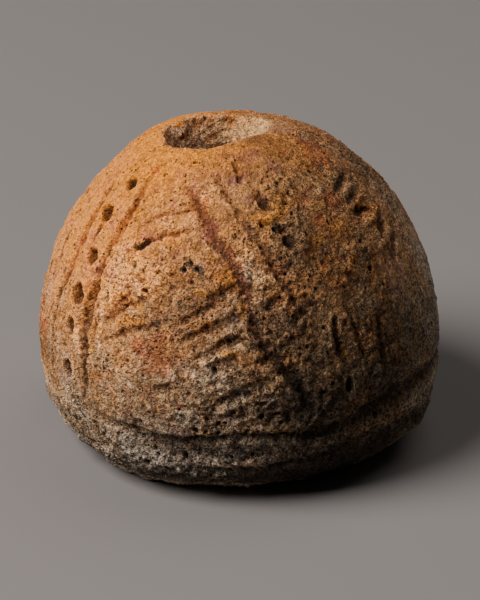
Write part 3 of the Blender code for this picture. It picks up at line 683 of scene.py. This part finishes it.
# Lighter and darker stretches: azimuth, level, half width, half height and how many doublings. The lighter
# stretches at the very bottom of the foot in front are painted light on its shaded underside, and the one at
# azimuth 31.5 is painted light on a stroke's lit wall.
SHADES = (
    (-30, 12, 6, 4, -0.1), (13, 17.5, 3.5, 2.5, -0.6), (22, 24, 3.5, 3, -0.35), (44, 20, 3, 4, -0.35),
    (-20, 19.5, 3, 1.5, -0.6), (-84, 10, 4, 1.6, -0.85), (-72, 11, 2, 1.5, -0.45), (8, 11, 3.5, 1.2, -0.6),
    (0, 25, 3, 2.5, 0.1), (-34, 17.5, 2, 1.6, 0.5), (36, 10, 4, 3, 0.6), (20, 6, 6, 1.5, 0.6),
    (4, 5, 5, 1.2, 1.9), (-58, 4, 4, 2, -0.45), (66, 26, 3, 4, -0.1), (58, 15.5, 2, 1.5, -0.6),
    (-60, 27, 3, 1.5, -0.2), (90, 28, 4, 3, -0.62), (40, 6.8, 7, 1.1, 1.8), (85, 18, 4, 6, 0.3),
    (-80, 7.2, 4, 1.1, 0.8), (-36, 7, 2.5, 0.9, 0.4), (24, 11, 2, 1.5, -0.4), (-14, 21.3, 2, 1, -0.3),
    (37, 14, 2, 2, 0.35), (-20, 13, 4, 1.2, -0.25), (64, 5.5, 3, 1.5, 0.3), (34, 17.5, 1.6, 1.4, -0.3),
    (34, 25, 2, 1.5, -0.3), (30, 29.5, 4, 1.2, 0.1), (-2, 1.2, 6, 1, 0.8), (27, 1, 2, 1, -0.6),
    (52, 2, 5, 2, 0.5), (-14, 10, 6, 1.6, -0.35), (12, 20, 2.5, 2, -0.4), (-12, 21.5, 3, 2.5, -0.25),
    (28, 25.5, 3, 2, -0.25), (48, 23, 2, 1.5, -0.35), (86, 27, 4, 3, -0.3), (-17, 22.8, 1.5, 1, -0.35),
    (-30, 3, 5, 1, -0.35), (-36, 22.8, 3, 1.5, 0.3), (12, 14, 2.5, 1.6, 0.55), (5, 9, 5, 1, 0.5),
    (36, 7, 8, 1.3, 0.5), (-12, 5, 7, 1, 0.4), (-14, 1, 9, 0.9, 0.6), (64, 2.2, 6, 1.6, 0.6),
    (-84, 7, 3, 1, 0.4), (-72, 3, 4, 1, 0.9), (24, 4, 9, 1.6, 0.4), (12, 23, 4, 1, 0.25),
    (-24, 29.5, 3, 1, 0.25), (-18, 13, 5, 1, -0.38), (-4, 11, 5, 0.9, -0.25), (5, 9, 5, 0.8, 0.35),
    (36, 7.5, 8, 1.5, 0.35), (-84, 7, 2.5, 1, 0.5), (-36, 7, 3, 1, 0.35), (-24, 5.2, 3, 0.8, 0.35),
    (0, 5, 3, 0.8, 0.35), (-16, 0.8, 7, 0.8, 0.5), (72, 8, 6, 1.8, 0.6), (60, 1.5, 5, 1.2, 0.4),
    (-20, 3, 4, 0.8, -0.55), (66, 4.6, 6, 1, -0.3), (70, 3, 5, 0.8, 0.5), (-86, 7, 2, 1, 0.4),
    (0, 29.5, 6, 1, -0.2), (24, 21.5, 3, 1, -0.3), (-24, 13.2, 3, 1, -0.25), (38, 9, 6, 1, 0.6),
    (12, 15.2, 2, 1, 0.45), (0, 9, 3, 0.8, 0.35), (-60, 11.5, 3, 1.6, -0.2), (-78, 18.5, 5, 3, 0.15),
    (-66, 22.5, 8, 2.5, 0.22), (-36, 17.2, 2, 1.2, 0.4), (-48, 15.5, 2, 3, 0.25), (-84, 6.8, 3, 0.8, 0.8),
    (36, 15, 2, 1.5, 0.3), (70, 3, 7, 1, 0.6), (0, 5.2, 4, 0.8, 0.35), (-8, 1, 14, 0.9, 1.7),
    (-54, 4, 6, 1.4, 0.25), (-74, 3, 3, 1.2, 0.4), (60, 5.2, 4, 0.8, -0.6), (7, 7, 7, 0.8, -0.25),
    (66, 1.8, 7, 1, 0.4), (-2, 3, 4, 0.7, -0.3), (-22, 3, 4, 0.8, -0.25), (12, 9, 3, 0.8, 0.3),
    (84, 22, 4, 3, 0.25), (30, 25, 5, 1.5, -0.2), (48, 23, 3, 1, -0.2), (-66, 21, 4, 3, 0.22),
    (31.5, 15.2, 0.6, 1, 0.5), (44, 11, 4, 4, 0.25), (3, 0.9, 4, 0.6, 0.5),
)
# Where the clay is greyer or cleaner than its height alone makes it.
GREYER = (
    (-48, 5.5, 9, 4, 0.16), (-28, 7, 5, 3, 0.12), (-80, 10, 4, 3.5, -0.22), (36, 5, 9, 5, -0.14),
    (0, 29.5, 9, 1.8, -0.06), (-15, 15, 6, 2, 0.06), (0, 14, 4, 2, 0.1), (84, 17, 4, 6, 0.14),
    (36, 27.5, 6, 3, 0.1), (62, 27, 4, 3, 0.1), (0, 22, 4, 5, 0.06), (-18, 27, 6, 4, 0.08),
    (-20, 20, 6, 3, 0.05), (-72, 21, 4, 2.5, -0.08), (-62, 27.2, 10, 1.6, 0.08), (-20, 29.6, 5, 1.4, 0.1),
    (36, 29.5, 9, 1.5, 0.1), (6, 29.5, 5, 1.2, 0.05), (72, 3, 5, 2, 0.05), (-62, 4.5, 9, 2.5, -0.16),
    (-40, 5, 6, 2, -0.1), (80, 29, 4, 2.5, -0.1),
)
# How bright the fired clay is round the whorl, how much of that is left at the foot, and how greyed it is at
# the top.
BRIGHTNESS = (
    (-150, 0.52), (-110, 0.64), (-84, 0.72), (-60, 0.74), (-48, 0.7), (-36, 0.64), (-24, 0.54), (-12, 0.46),
    (0, 0.45), (12, 0.36), (24, 0.285), (36, 0.28), (48, 0.285), (60, 0.32), (72, 0.345), (84, 0.37),
    (120, 0.38), (170, 0.44),
)
FOOT_SHARE = (
    (-150, 0.5), (-84, 0.46), (-48, 0.4), (-24, 0.32), (0, 0.24), (24, 0.22), (48, 0.3), (72, 0.55),
    (110, 0.6), (170, 0.55),
)
GREYNESS = (
    (-150, 0.2), (-84, 0), (-48, 0), (-24, 0.12), (0, 0.26), (24, 0.36), (48, 0.32), (72, 0.48), (84, 0.62),
    (120, 0.5), (170, 0.3),
)

# How much of its green and its blue the clay keeps round the whorl.
GREENNESS = ((-180, 1), (-110, 1.03), (-84, 1.05), (-48, 1.05), (-20, 1.02), (0, 1), (180, 1))
BLUENESS = (
    (-180, 1), (-90, 1.07), (-60, 1.07), (-24, 1.03), (0, 0.97), (12, 0.91), (48, 0.88), (72, 0.94),
    (100, 1), (180, 1),
)


def scattered(points, azimuth, level, table, seed, wander):
    """The sum of soft patches whose outlines wander."""
    total = np.zeros(azimuth.shape, np.float32)
    radius = np.hypot(points[..., 0], points[..., 1])
    aside = wander * rough(points, 1.8, seed + 5, 3, 0.7)
    upwards = level + wander * rough(points, 1.8, seed + 9, 3, 0.7)
    for middle, height, wide, tall, strength in table:
        around = np.radians(turn_between(azimuth, middle)) * radius + aside
        total += strength * np.exp(-((around / wide) ** 2) - ((upwards - height) / tall) ** 2)
    return total


def spots(name, points, azimuth, level):
    """A mask from 0 to 1 of one patchwork's spots."""
    table, seed, size, ragged = PATCHWORKS[name]
    total = scattered(points, azimuth, level, table, seed, 0.35)
    return step(0.15, 0.85, total + ragged * rough(points, size, seed, 3, 0.7) * step(0.03, 0.4, total))


# ---- the whole surface


def azimuth_of(points):
    return np.degrees(np.arctan2(points[..., 0] - lean(points[..., 2]), -points[..., 1]))


def cut_marks(points, normals, azimuth, level, relief, dirt_and_shade, dark):
    """Cuts the whole pattern, the pits, the grooves of the foot and the ridges beside them."""
    for number, mark in enumerate((*LINES, *STROKES, *back_lines(), *back_strokes())):
        carve(relief, dirt_and_shade, points, normals, *mark, 100 + number)
    for number, dot in enumerate((*DOTS, *back_dots())):
        prick(relief, dark, points, dot, 300 + number)
    for number, (place, height, radius) in enumerate(PITS):
        pit = (place, height, 0.8 * radius, 0.95 * radius, 1.3 * radius, 0)
        prick(relief, dark, points, pit, 400 + number, 0.60)
    for table, seed in ((FOOT_GROOVE, 90), (BASE_GROOVE, 92)):
        ring_groove(relief, dirt_and_shade, points, azimuth, level, table, seed)
    carve(relief, dirt_and_shade, points, normals, 0.2, 1.0, LEDGE, 95)
    for number, knots in enumerate(RIDGES):
        heap(relief, points, normals, knots, 500 + number)


outer = CAP_ROWS + BODY_ROWS
points = rounded(surface_grid(), -7, 7, 8)
points = rounded(points, outer - 5, outer + 2, 3)
normals = normals_of(points)
level = points[..., 2]
azimuth = azimuth_of(points)
row_number = np.arange(len(points))[:, None] + 0 * azimuth
inside = step(outer + BASE_ROWS, outer + BASE_ROWS + 4, row_number)
outside = 1 - inside

smooth, cream, crumbly, lumpy = (
    spots(name, points, azimuth, level) * outside for name in ("smooth", "cream", "crumbly", "lumpy")
)
flank = step(40, 70, np.abs(azimuth)) * step(8, 14, level)
salty = (1 - step(6, 10, level)) * step(-80, -50, azimuth) * (1 - step(20, 50, azimuth))
patchy = 0.6 + 0.4 * step(-0.35, 0.35, rough(points, 2.6, 25, 2))
gritty = np.maximum((1.0 - 0.60 * smooth) * (1 - 0.15 * flank) * patchy, cream)
gritty = gritty + 0.5 * np.maximum(salty, crumbly)

relief, dirt_and_shade, dark = np.zeros((3, *level.shape))
cut_marks(*(field[:outer] for field in (points, normals, azimuth, level, relief, dirt_and_shade, dark)))

# Soft unevenness, streaks along the smoothed clay and a worn hollow behind the mouth.
relief += 0.10 * rough(points, 5.0, 11) + (0.05 + 0.08 * gritty) * rough(points, 2.2, 12, 2)
stretched = np.stack((np.radians(azimuth) * 18.0, level * 0.12, 0 * level), -1)
relief += outside * (0.05 * smooth + 0.04 * flank) * rough(stretched, 0.5, 16, 2)
worn = ((points[..., 0] - 1.5) ** 2 + (points[..., 1] - 7.0) ** 2) / 5.0**2
relief -= 0.32 * np.exp(-worn) * (level > 20)
# Coarse crust, lumps and pale grains.
crust = 0.09 * rough(points, 0.9, 13, 3, 0.7) + 0.07 * webbed(points, 1.1, 17)
relief += gritty * outside * (crust + 0.06 * webbed(points, 0.55, 18))
relief += lumpy * (0.13 * rough(points, 1.5, 27, 3, 0.7) + 0.16 * (webbed(points, 1.9, 28) - 0.3))
relief += cream * (0.05 + 0.09 * webbed(points, 0.9, 14))
# Slanting scrapes and crumbs on the mouth's wall.
slanting = level - 0.45 * points[..., 0]
spiral = np.stack((0.25 * points[..., 0], 0.25 * points[..., 1], slanting), -1)
near_mouth = inside * step(24.0, 29.0, level)
scraped = webbed(spiral, 0.9, 19) - 0.3
relief += inside * 0.07 * rough(points, 1.6, 15, 3, 0.6) + near_mouth * 0.07 * scraped
relief += near_mouth * (0.06 * rough(points, 0.6, 21, 2, 0.7) + 0.06 * webbed(points, 0.6, 22))
pitted = pores(points, 1.1, 40, 0.5, 0.09, 0.30, 1.2) * (0.35 + 0.65 * gritty)
relief -= pitted
# Pores are darkened by their depth, as dirt and painted shade.
dark = np.maximum(dark, unit(pitted / 0.16) * 0.8)

# The base is let down until it stands flat on the floor.
displaced = points + normals * relief[..., None]
sunk = 0.32 * (1 - step(0.2, 1.6, displaced[..., 2]))
displaced[..., 2] = np.maximum(displaced[..., 2] - sunk, 0.0)


def blurred(field, times):
    for _ in range(times):
        beside = sum(np.roll(field, shift, axis) for axis in (0, 1) for shift in (1, -1))
        field = 0.5 * field + 0.125 * beside
    return field


def build(name, points, values):
    """One closed mesh from the grid of points, whose rows and columns both run in rings."""
    index = np.arange(points[..., 0].size).reshape(points.shape[:2])
    below = np.roll(index, -1, 0)
    faces = np.stack((index, below, np.roll(below, -1, 1), np.roll(index, -1, 1)), -1).reshape(-1, 4)
    mesh = bpy.data.meshes.new(name)
    mesh.vertices.add(index.size)
    mesh.vertices.foreach_set("co", (points * 0.001).astype(np.float32).ravel())
    mesh.loops.add(faces.size)
    mesh.loops.foreach_set("vertex_index", faces.ravel())
    mesh.polygons.add(len(faces))
    mesh.polygons.foreach_set("loop_start", np.arange(0, faces.size, 4))
    mesh.update(calc_edges=True)
    for key, given in values.items():
        store(mesh, key, given)
    return linked(name, mesh)


def linked(name, data):
    thing = bpy.data.objects.new(name, data)
    bpy.context.scene.collection.objects.link(thing)
    return thing


def store(mesh, name, values):
    attribute = mesh.attributes.new(name, "FLOAT", "POINT")
    attribute.data.foreach_set("value", values.astype(np.float32).ravel())


def read(mesh, name):
    found = np.empty(len(mesh.vertices), np.float32)
    mesh.attributes[name].data.foreach_get("value", found)
    return found


def reduced(thing, triangles):
    """The same surface with at most this many triangles, kept where the relief needs them."""
    old = thing.data
    modifier = thing.modifiers.new("fewer", "DECIMATE")
    modifier.ratio = triangles / (2 * len(old.polygons))
    depsgraph = bpy.context.evaluated_depsgraph_get()
    mesh = bpy.data.meshes.new_from_object(thing.evaluated_get(depsgraph))
    thing.modifiers.clear()
    thing.data = mesh
    mesh.name = thing.name
    bpy.data.meshes.remove(old)
    mesh.shade_smooth()
    return thing


shaded = step(14, 34, azimuth) * (1 - step(90, 120, azimuth)) * (1 - step(12, 22, level))
carried = {
    "inside": inside,
    "dirt_and_shade": dirt_and_shade,
    "dark": dark,
    "hollow": relief - blurred(relief, 24),
}
grit = mix(gritty + 0.7 * shaded + 0.4 * salty, 0.5, inside)
whorl = reduced(build("whorl_surface", displaced, {"grit": grit, **carried}), MOST_TRIANGLES)
for vertex in whorl.data.vertices:
    vertex.co.z = max(vertex.co.z, 0.0)
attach(whorl, "root")
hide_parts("whorl")

# ---- colours of the clay

# From clean orange clay over tan to grey crust, in even steps of greyness.
HUES = ((1.0, 0.315, 0.026), (1.0, 0.36, 0.085), (1.0, 0.45, 0.175), (1.0, 0.585, 0.31), (1.0, 0.73, 0.52))
PINKISH_WASH = (0.80, 0.73, 1.15)
HIGH_GRIME_AND_SHADE = np.array((0.42, 0.30, 0.36))
LOW_GRIME_AND_SHADE = np.array((0.31, 0.29, 0.28))
PIT_DIRT_AND_SHADE = (0.20, 0.17, 0.19)
SOOT_BLACK = np.array((0.012, 0.008, 0.005))
SHADED_WALL_BROWN = np.array((0.47, 0.26, 0.145))
LIT_WALL_CREAM = np.array((0.95, 0.53, 0.22))


def hue_of(grey):
    steps = np.linspace(0, 1, len(HUES))
    return np.stack([np.interp(grey, steps, channel) for channel in zip(*HUES)], -1)


def washed(tint, wash, share):
    """A colour filtered by a wash, as far as share says."""
    return tint * mix(1.0, np.array(wash), share[:, None])


def colour_attribute(mesh, name, red, green, blue):
    values = np.stack((red, green, blue, np.ones(len(red))), -1).astype(np.float32)
    mesh.attributes.new(name, "FLOAT_COLOR", "POINT").data.foreach_set("color", values.ravel())


mesh = whorl.data
points = np.empty(3 * len(mesh.vertices), np.float32)
mesh.vertices.foreach_get("co", points)
points = points.reshape(-1, 3).astype(float) * 1000
level = points[:, 2]
azimuth = azimuth_of(points)
inside, dirt_and_shade, dark, hollow = (read(mesh, name) for name in carried)
smooth, cream, soot, rust, ochre, black = (
    spots(name, points, azimuth, level) for name in ("smooth", "cream", "soot", "rust", "ochre", "black")
)

# The fired clay: its brightness, then its greyness.
below_edge = 1 - step(-0.3, 0.3, level - round_curve(FOOT_EDGE, azimuth) + 0.5 * rough(points, 1.0, 73))
share = mix(round_curve(FOOT_SHARE, azimuth), 1.0, step(0.0, 25.0, level))
bright = (1.25 - 0.20 * below_edge) * round_curve(BRIGHTNESS, azimuth) * share
bright = bright * 2.0 ** scattered(points, azimuth, level, SHADES, 59, 0.8)
bright = bright * 2.0 ** (0.30 * rough(points, 2.8, 60) + 0.42 * rough(points, 0.8, 61, 2, 0.7))
grey = round_curve(GREYNESS, azimuth) + 0.82 * (28.0 - level) / 28.0 + 0.22 * (1 - step(1.0, 8.0, level))
grey = grey + scattered(points, azimuth, level, GREYER, 57, 0.8) + 0.04 * below_edge
grey = grey + (0.06 + 0.12 * (1 - smooth)) * (rough(points, 3.5, 62) + 0.8 * rough(points, 1.0, 63))
tint = hue_of(grey) * bright[:, None]
tint[:, 1] *= round_curve(GREENNESS, azimuth)
tint[:, 2] *= round_curve(BLUENESS, azimuth)

# What lies on it: pinkish bloom, soot, grime and painted shade in the marks, and dirt and painted shade in
# the dots and pits.
pinkish = step(0.12, 0.36, rough(points, 2.2, 64, 4, 0.7)) * (0.3 + 0.7 * smooth) * step(3, 11, level)
tint = washed(tint, PINKISH_WASH, pinkish)
tint = mix(tint, tint * 0.24 + SOOT_BLACK, (0.8 * soot)[:, None])
low = 1 - step(13, 25, level)
mark_dirt_and_shade = unit(dirt_and_shade * (0.85 + 0.35 * rough(points, 1.2, 68)))
tint = washed(tint, mix(HIGH_GRIME_AND_SHADE, LOW_GRIME_AND_SHADE, low[:, None]), mark_dirt_and_shade)
tint = washed(tint, PIT_DIRT_AND_SHADE, dark * (1 - 0.3 * low) * mix(1.0, 0.85, step(-30, 0, azimuth)))

# The mouth's wall: creamy at the back right, partly painted light on the side the lamp reaches, and brown
# elsewhere, partly painted shade; darker farther down, as painted shade in the hole.
across, along_y = points[:, 0] - HOLE_CENTRE[0], points[:, 1] - HOLE_CENTRE[1]
turn = np.degrees(np.arctan2(across, -along_y))
around_back = turn_between(turn, 180) + 20 * rough(points, 1.5, 71)
creamy_lit = (1 - step(-50, 40, around_back)) * step(-178, -110, around_back)
wall = mix(SHADED_WALL_BROWN, LIT_WALL_CREAM, creamy_lit[:, None])
wall = wall * 2.0 ** (0.38 * rough(points, 0.9, 70, 3, 0.7))[:, None]
# Painted shade, darker deeper in the hole.
wall = washed(wall, 0.22, step(1.8, 5.0, HEIGHT - level))
past_rim = np.hypot(across, along_y) - round_curve(RIM, turn) + 0.45 * rough(points, 1.2, 72)
fading = mix(0.45, 0.95, step(15, 45, turn) * (1 - step(130, 165, turn)))
walled = np.where(level > 20, 1 - step(-1.0, 1.0, past_rim / fading), inside)
tint = mix(tint, wall, walled[:, None])

# Hollows are darkened, as dirt and painted shade, and edges are rubbed paler.
tint = washed(tint, 0.40, unit(-hollow / 0.14) ** 0.8 * (1 - 0.75 * inside))
tint = washed(tint, 1.30, unit(hollow / 0.08))
tint = tint * np.minimum(1, 0.86 / tint.max(-1, keepdims=True))
tint = np.maximum(tint, 0.003)

for name in carried:
    mesh.attributes.remove(mesh.attributes[name])
outside = 1 - inside
colour_attribute(mesh, "tint", *tint.T)
colour_attribute(mesh, "stain", rust * outside, ochre * outside, cream * outside)
store(mesh, "black", black * outside)

# ---- materials

# Each stain on the clay: the scale, detail and roughness of the noise that breaks up its edge, how far the
# noise moves the edge, how sharp the edge is, the stain's strength, and how it filters the clay's colour.
RUST_STAIN = (2100.0, 4.0, 0.8, 2.4, 2.6, 0.7, (0.97, 0.61, 0.52))
OCHRE_STAIN = (1300.0, 4.0, 0.7, 1.5, 3.0, 0.85, (1.15, 1.02, 0.55))
PALE_STAIN = (2400.0, 3.0, 0.7, 1.5, 3.0, 0.8, (1.75, 1.85, 1.90))
BLACK_STAIN = (3100.0, 3.0, 0.7, 2.2, 4.0, 0.9, (0.17, 0.24, 0.33))
GRAIN_DEPTH = 0.00024
FLOOR_COLOUR = (0.22, 0.195, 0.183, 1.0)


class Nodes:
    """Short ways to add nodes to one material."""

    def __init__(self, tree):
        self.tree = tree

    def add(self, kind, settings=None, **inputs):
        node = self.tree.nodes.new(kind)
        for key, value in (settings or {}).items():
            setattr(node, key, value)
        for key, value in inputs.items():
            self.set(node, key.replace("_", " "), value)
        return node

    def set(self, node, socket, value):
        target = node.inputs[socket]
        if isinstance(value, bpy.types.NodeSocket):
            self.tree.links.new(value, target)
        else:
            target.default_value = value

    def given(self, node, output, *values):
        """Sets a node's inputs in turn, and returns the output."""
        for socket, value in enumerate(values):
            self.set(node, socket, value)
        return node.outputs[output]

    def math(self, operation, a, b=0.0, clamp=False):
        return self.given(self.add("ShaderNodeMath", {"operation": operation, "use_clamp": clamp}), 0, a, b)

    def vectors(self, operation, *values):
        return self.given(self.add("ShaderNodeVectorMath", {"operation": operation}), 0, *values)

    def times(self, value, factor):
        return self.math("MULTIPLY", value, factor)

    def centred(self, value):
        return self.math("SUBTRACT", value, 0.5)

    def weighted(self, *terms):
        """The sum of values, each times its weight."""
        total, *others = (self.times(value, weight) for value, weight in terms)
        for other in others:
            total = self.math("ADD", total, other)
        return total

    def ramp(self, value, low, high, first=0.0, last=1.0):
        return self.given(self.add("ShaderNodeMapRange"), "Result", value, low, high, first, last)

    def noise(self, place, scale, detail, roughness=0.6, output="Fac"):
        sockets = {"Vector": place, "Scale": scale, "Detail": detail, "Roughness": roughness}
        return self.add("ShaderNodeTexNoise", None, **sockets).outputs[output]

    def web(self, place, scale, sharpness):
        """Thin ridges that meet in a web, from 0 to 1."""
        off = self.math("ABSOLUTE", self.centred(self.noise(place, scale, 1.0)))
        return self.math("SUBTRACT", 1.0, self.times(off, sharpness), clamp=True)

    def grains(self, place, scale):
        """A random value for each grain, and the distance from its middle."""
        node = self.add("ShaderNodeTexVoronoi", None, Vector=place, Scale=scale)
        split = self.add("ShaderNodeSeparateColor", None, Color=node.outputs["Color"])
        return split.outputs["Red"], node.outputs["Distance"]

    def attribute(self, name, output):
        return self.add("ShaderNodeAttribute", {"attribute_name": name}).outputs[output]

    def filtered(self, share, colour, factors):
        """A colour times a filter, as far as share says."""
        node = self.add("ShaderNodeMix", {"data_type": "RGBA"})
        for socket, value in ((0, share), (6, colour), (7, self.vectors("MULTIPLY", colour, factors))):
            self.set(node, socket, value)
        return node.outputs[2]

    def ragged(self, mask, edge, spread, sharpness):
        """A soft mask given a fine, broken edge."""
        shifted = self.math("ADD", mask, self.times(self.centred(edge), spread))
        return self.math("ADD", self.times(self.centred(shifted), sharpness), 0.5, clamp=True)


def material(name):
    made = bpy.data.materials.new(name)
    made.use_nodes = True
    return made, Nodes(made.node_tree), made.node_tree.nodes["Principled BSDF"]


def stained(nodes, place, colour):
    """The clay's colour with its rust, ochre, pale and black stains."""
    stain = nodes.add("ShaderNodeSeparateColor", None, Color=nodes.attribute("stain", "Color")).outputs
    masks = (stain["Red"], stain["Green"], stain["Blue"], nodes.attribute("black", "Fac"))
    for mask, look in zip(masks, (RUST_STAIN, OCHRE_STAIN, PALE_STAIN, BLACK_STAIN)):
        scale, detail, roughness, spread, sharpness, strength, factors = look
        edge = nodes.noise(place, scale, detail, roughness)
        share = nodes.times(nodes.ragged(mask, edge, spread, sharpness), strength)
        colour = nodes.filtered(share, colour, factors)
    return colour


def fired_clay():
    """Grains, crumbs, webs and pinholes that shade and roughen the colours of the mesh, partly painted
    shade.
    """
    clay, nodes, shader = material("fired_clay")
    place = nodes.add("ShaderNodeTexCoord").outputs["Object"]
    grit = nodes.attribute("grit", "Fac")
    grain = nodes.noise(place, 5600.0, 3.0, 0.75)
    blotch = nodes.noise(place, 1500.0, 4.0, 0.75)
    wide_web = nodes.web(place, 2300.0, 13.0)
    fine_web = nodes.web(place, 4600.0, 10.0)
    grain_shade, grain_distance = nodes.grains(place, 7600.0)
    warp = nodes.noise(place, 2500.0, 2.0, 0.5, "Color")
    bent = nodes.vectors("MULTIPLY_ADD", warp, (0.0005, 0.0005, 0.0005), place)
    crumb_shade, crumb_distance = nodes.grains(bent, 2900.0)
    # Crevices between the crumbs are lowered and darkened, as dirt and painted shade.
    crevice = nodes.ramp(crumb_distance, 0.38, 0.72)
    # Pinholes are lowered and darkened, as painted shade and dirt.
    pin_shade, pin_distance = nodes.grains(place, 2300.0)
    pin_size = nodes.ramp(pin_shade, 0.28, 1.0, 0.0, 0.34)
    pin_depth = nodes.times(nodes.math("SUBTRACT", pin_size, pin_distance), 14.0)
    pin = nodes.math("SUBTRACT", 1.0, pin_depth, clamp=True)

    doublings = nodes.weighted(
        (nodes.centred(grain), 4.8),
        (nodes.centred(blotch), 1.8),
        (wide_web, 0.85),
        (fine_web, 0.75),
        (nodes.centred(grain_shade), 1.4),
        (nodes.centred(crumb_shade), 0.9),
        (crevice, -0.9),
    )
    doublings = nodes.times(nodes.math("ADD", doublings, 0.05), nodes.ramp(grit, 0.0, 2.2, 0.26, 2.25))
    shade = nodes.math("POWER", 2.0, nodes.math("MINIMUM", doublings, 1.0))
    shade = nodes.times(shade, nodes.ramp(pin, 0.0, 1.0, 0.16, 1.0))
    colour = stained(nodes, place, nodes.attribute("tint", "Color"))
    scaled = nodes.add("ShaderNodeVectorMath", {"operation": "SCALE"}, Scale=shade)
    nodes.set(shader, "Base Color", nodes.given(scaled, 0, colour))
    nodes.set(shader, "Roughness", nodes.ramp(grain, 0.3, 0.7, 0.80, 0.97))
    nodes.set(shader, "Specular IOR Level", 0.25)

    height = nodes.weighted(
        (grain, 1.6),
        (blotch, 0.8),
        (wide_web, 0.35),
        (fine_web, 0.22),
        (grain_distance, -0.3),
        (crevice, -0.7),
    )
    height = nodes.times(height, nodes.ramp(grit, 0.0, 1.5, 0.25, 1.5))
    height = nodes.math("ADD", height, nodes.times(pin, 0.6))
    bump = nodes.add("ShaderNodeBump", None, Height=height, Strength=1.0, Distance=GRAIN_DEPTH)
    nodes.set(shader, "Normal", bump.outputs["Normal"])
    return clay


def floor_paper():
    paper, nodes, shader = material("floor_paper")
    nodes.set(shader, "Base Color", FLOOR_COLOUR)
    nodes.set(shader, "Roughness", 0.9)
    nodes.set(shader, "Specular IOR Level", 0.2)
    return paper


whorl.data.materials.append(fired_clay())

# ---- floor, lights and camera

# Lengths are in metres here, and angles in degrees.
FLOOR_CORNERS = ((-1.5, -1.0, 0.0), (1.5, -1.0, 0.0), (1.5, 2.0, 0.0), (-1.5, 2.0, 0.0))
LIT_POINT = (0.0, 0.0, 0.012)
LIGHT_DISTANCE = 0.60
# Azimuth, elevation, diameter and power.
KEY_LIGHT = (-70, 48, 0.42, 5.8)
FILL_LIGHT = (130, 60, 0.50, 0.9)
STUDIO_GLOW = 0.03
LOOK_AT = (0.0, 0.0, 0.0132)
CAMERA_ELEVATION = 25
CAMERA_DISTANCE = 0.320
FOCAL_LENGTH_MM = 191.7
SENSOR_WIDTH_MM = 36.0


def placed(name, data, azimuth, elevation, distance, target):
    """A light or camera at a polar place round its target, facing it."""
    thing = linked(name, data)
    turn, rise = np.radians(azimuth), np.radians(elevation)
    out = Vector((np.sin(turn) * np.cos(rise), -np.cos(turn) * np.cos(rise), np.sin(rise)))
    thing.location = Vector(target) + out * distance
    thing.rotation_euler = (Vector(target) - thing.location).to_track_quat("-Z", "Y").to_euler()
    return thing


def soft_light(name, azimuth, elevation, size, power):
    lamp = bpy.data.lights.new(name, "AREA")
    lamp.shape = "DISK"
    lamp.size = size
    lamp.energy = power
    placed(name, lamp, azimuth, elevation, LIGHT_DISTANCE, LIT_POINT)


floor_mesh = bpy.data.meshes.new("floor")
floor_mesh.from_pydata(FLOOR_CORNERS, [], [(0, 1, 2, 3)])
floor_mesh.materials.append(floor_paper())
floor = linked("floor", floor_mesh)

soft_light("key", *KEY_LIGHT)
soft_light("fill", *FILL_LIGHT)

world = bpy.data.worlds.new("studio")
world.use_nodes = True
background = world.node_tree.nodes["Background"]
background.inputs["Color"].default_value = (1.0, 1.0, 1.0, 1.0)
background.inputs["Strength"].default_value = STUDIO_GLOW
bpy.context.scene.world = world

camera_data = bpy.data.cameras.new("camera")
camera_data.sensor_width = SENSOR_WIDTH_MM
camera_data.lens = FOCAL_LENGTH_MM
bpy.context.scene.camera = placed("camera", camera_data, 0, CAMERA_ELEVATION, CAMERA_DISTANCE, LOOK_AT)
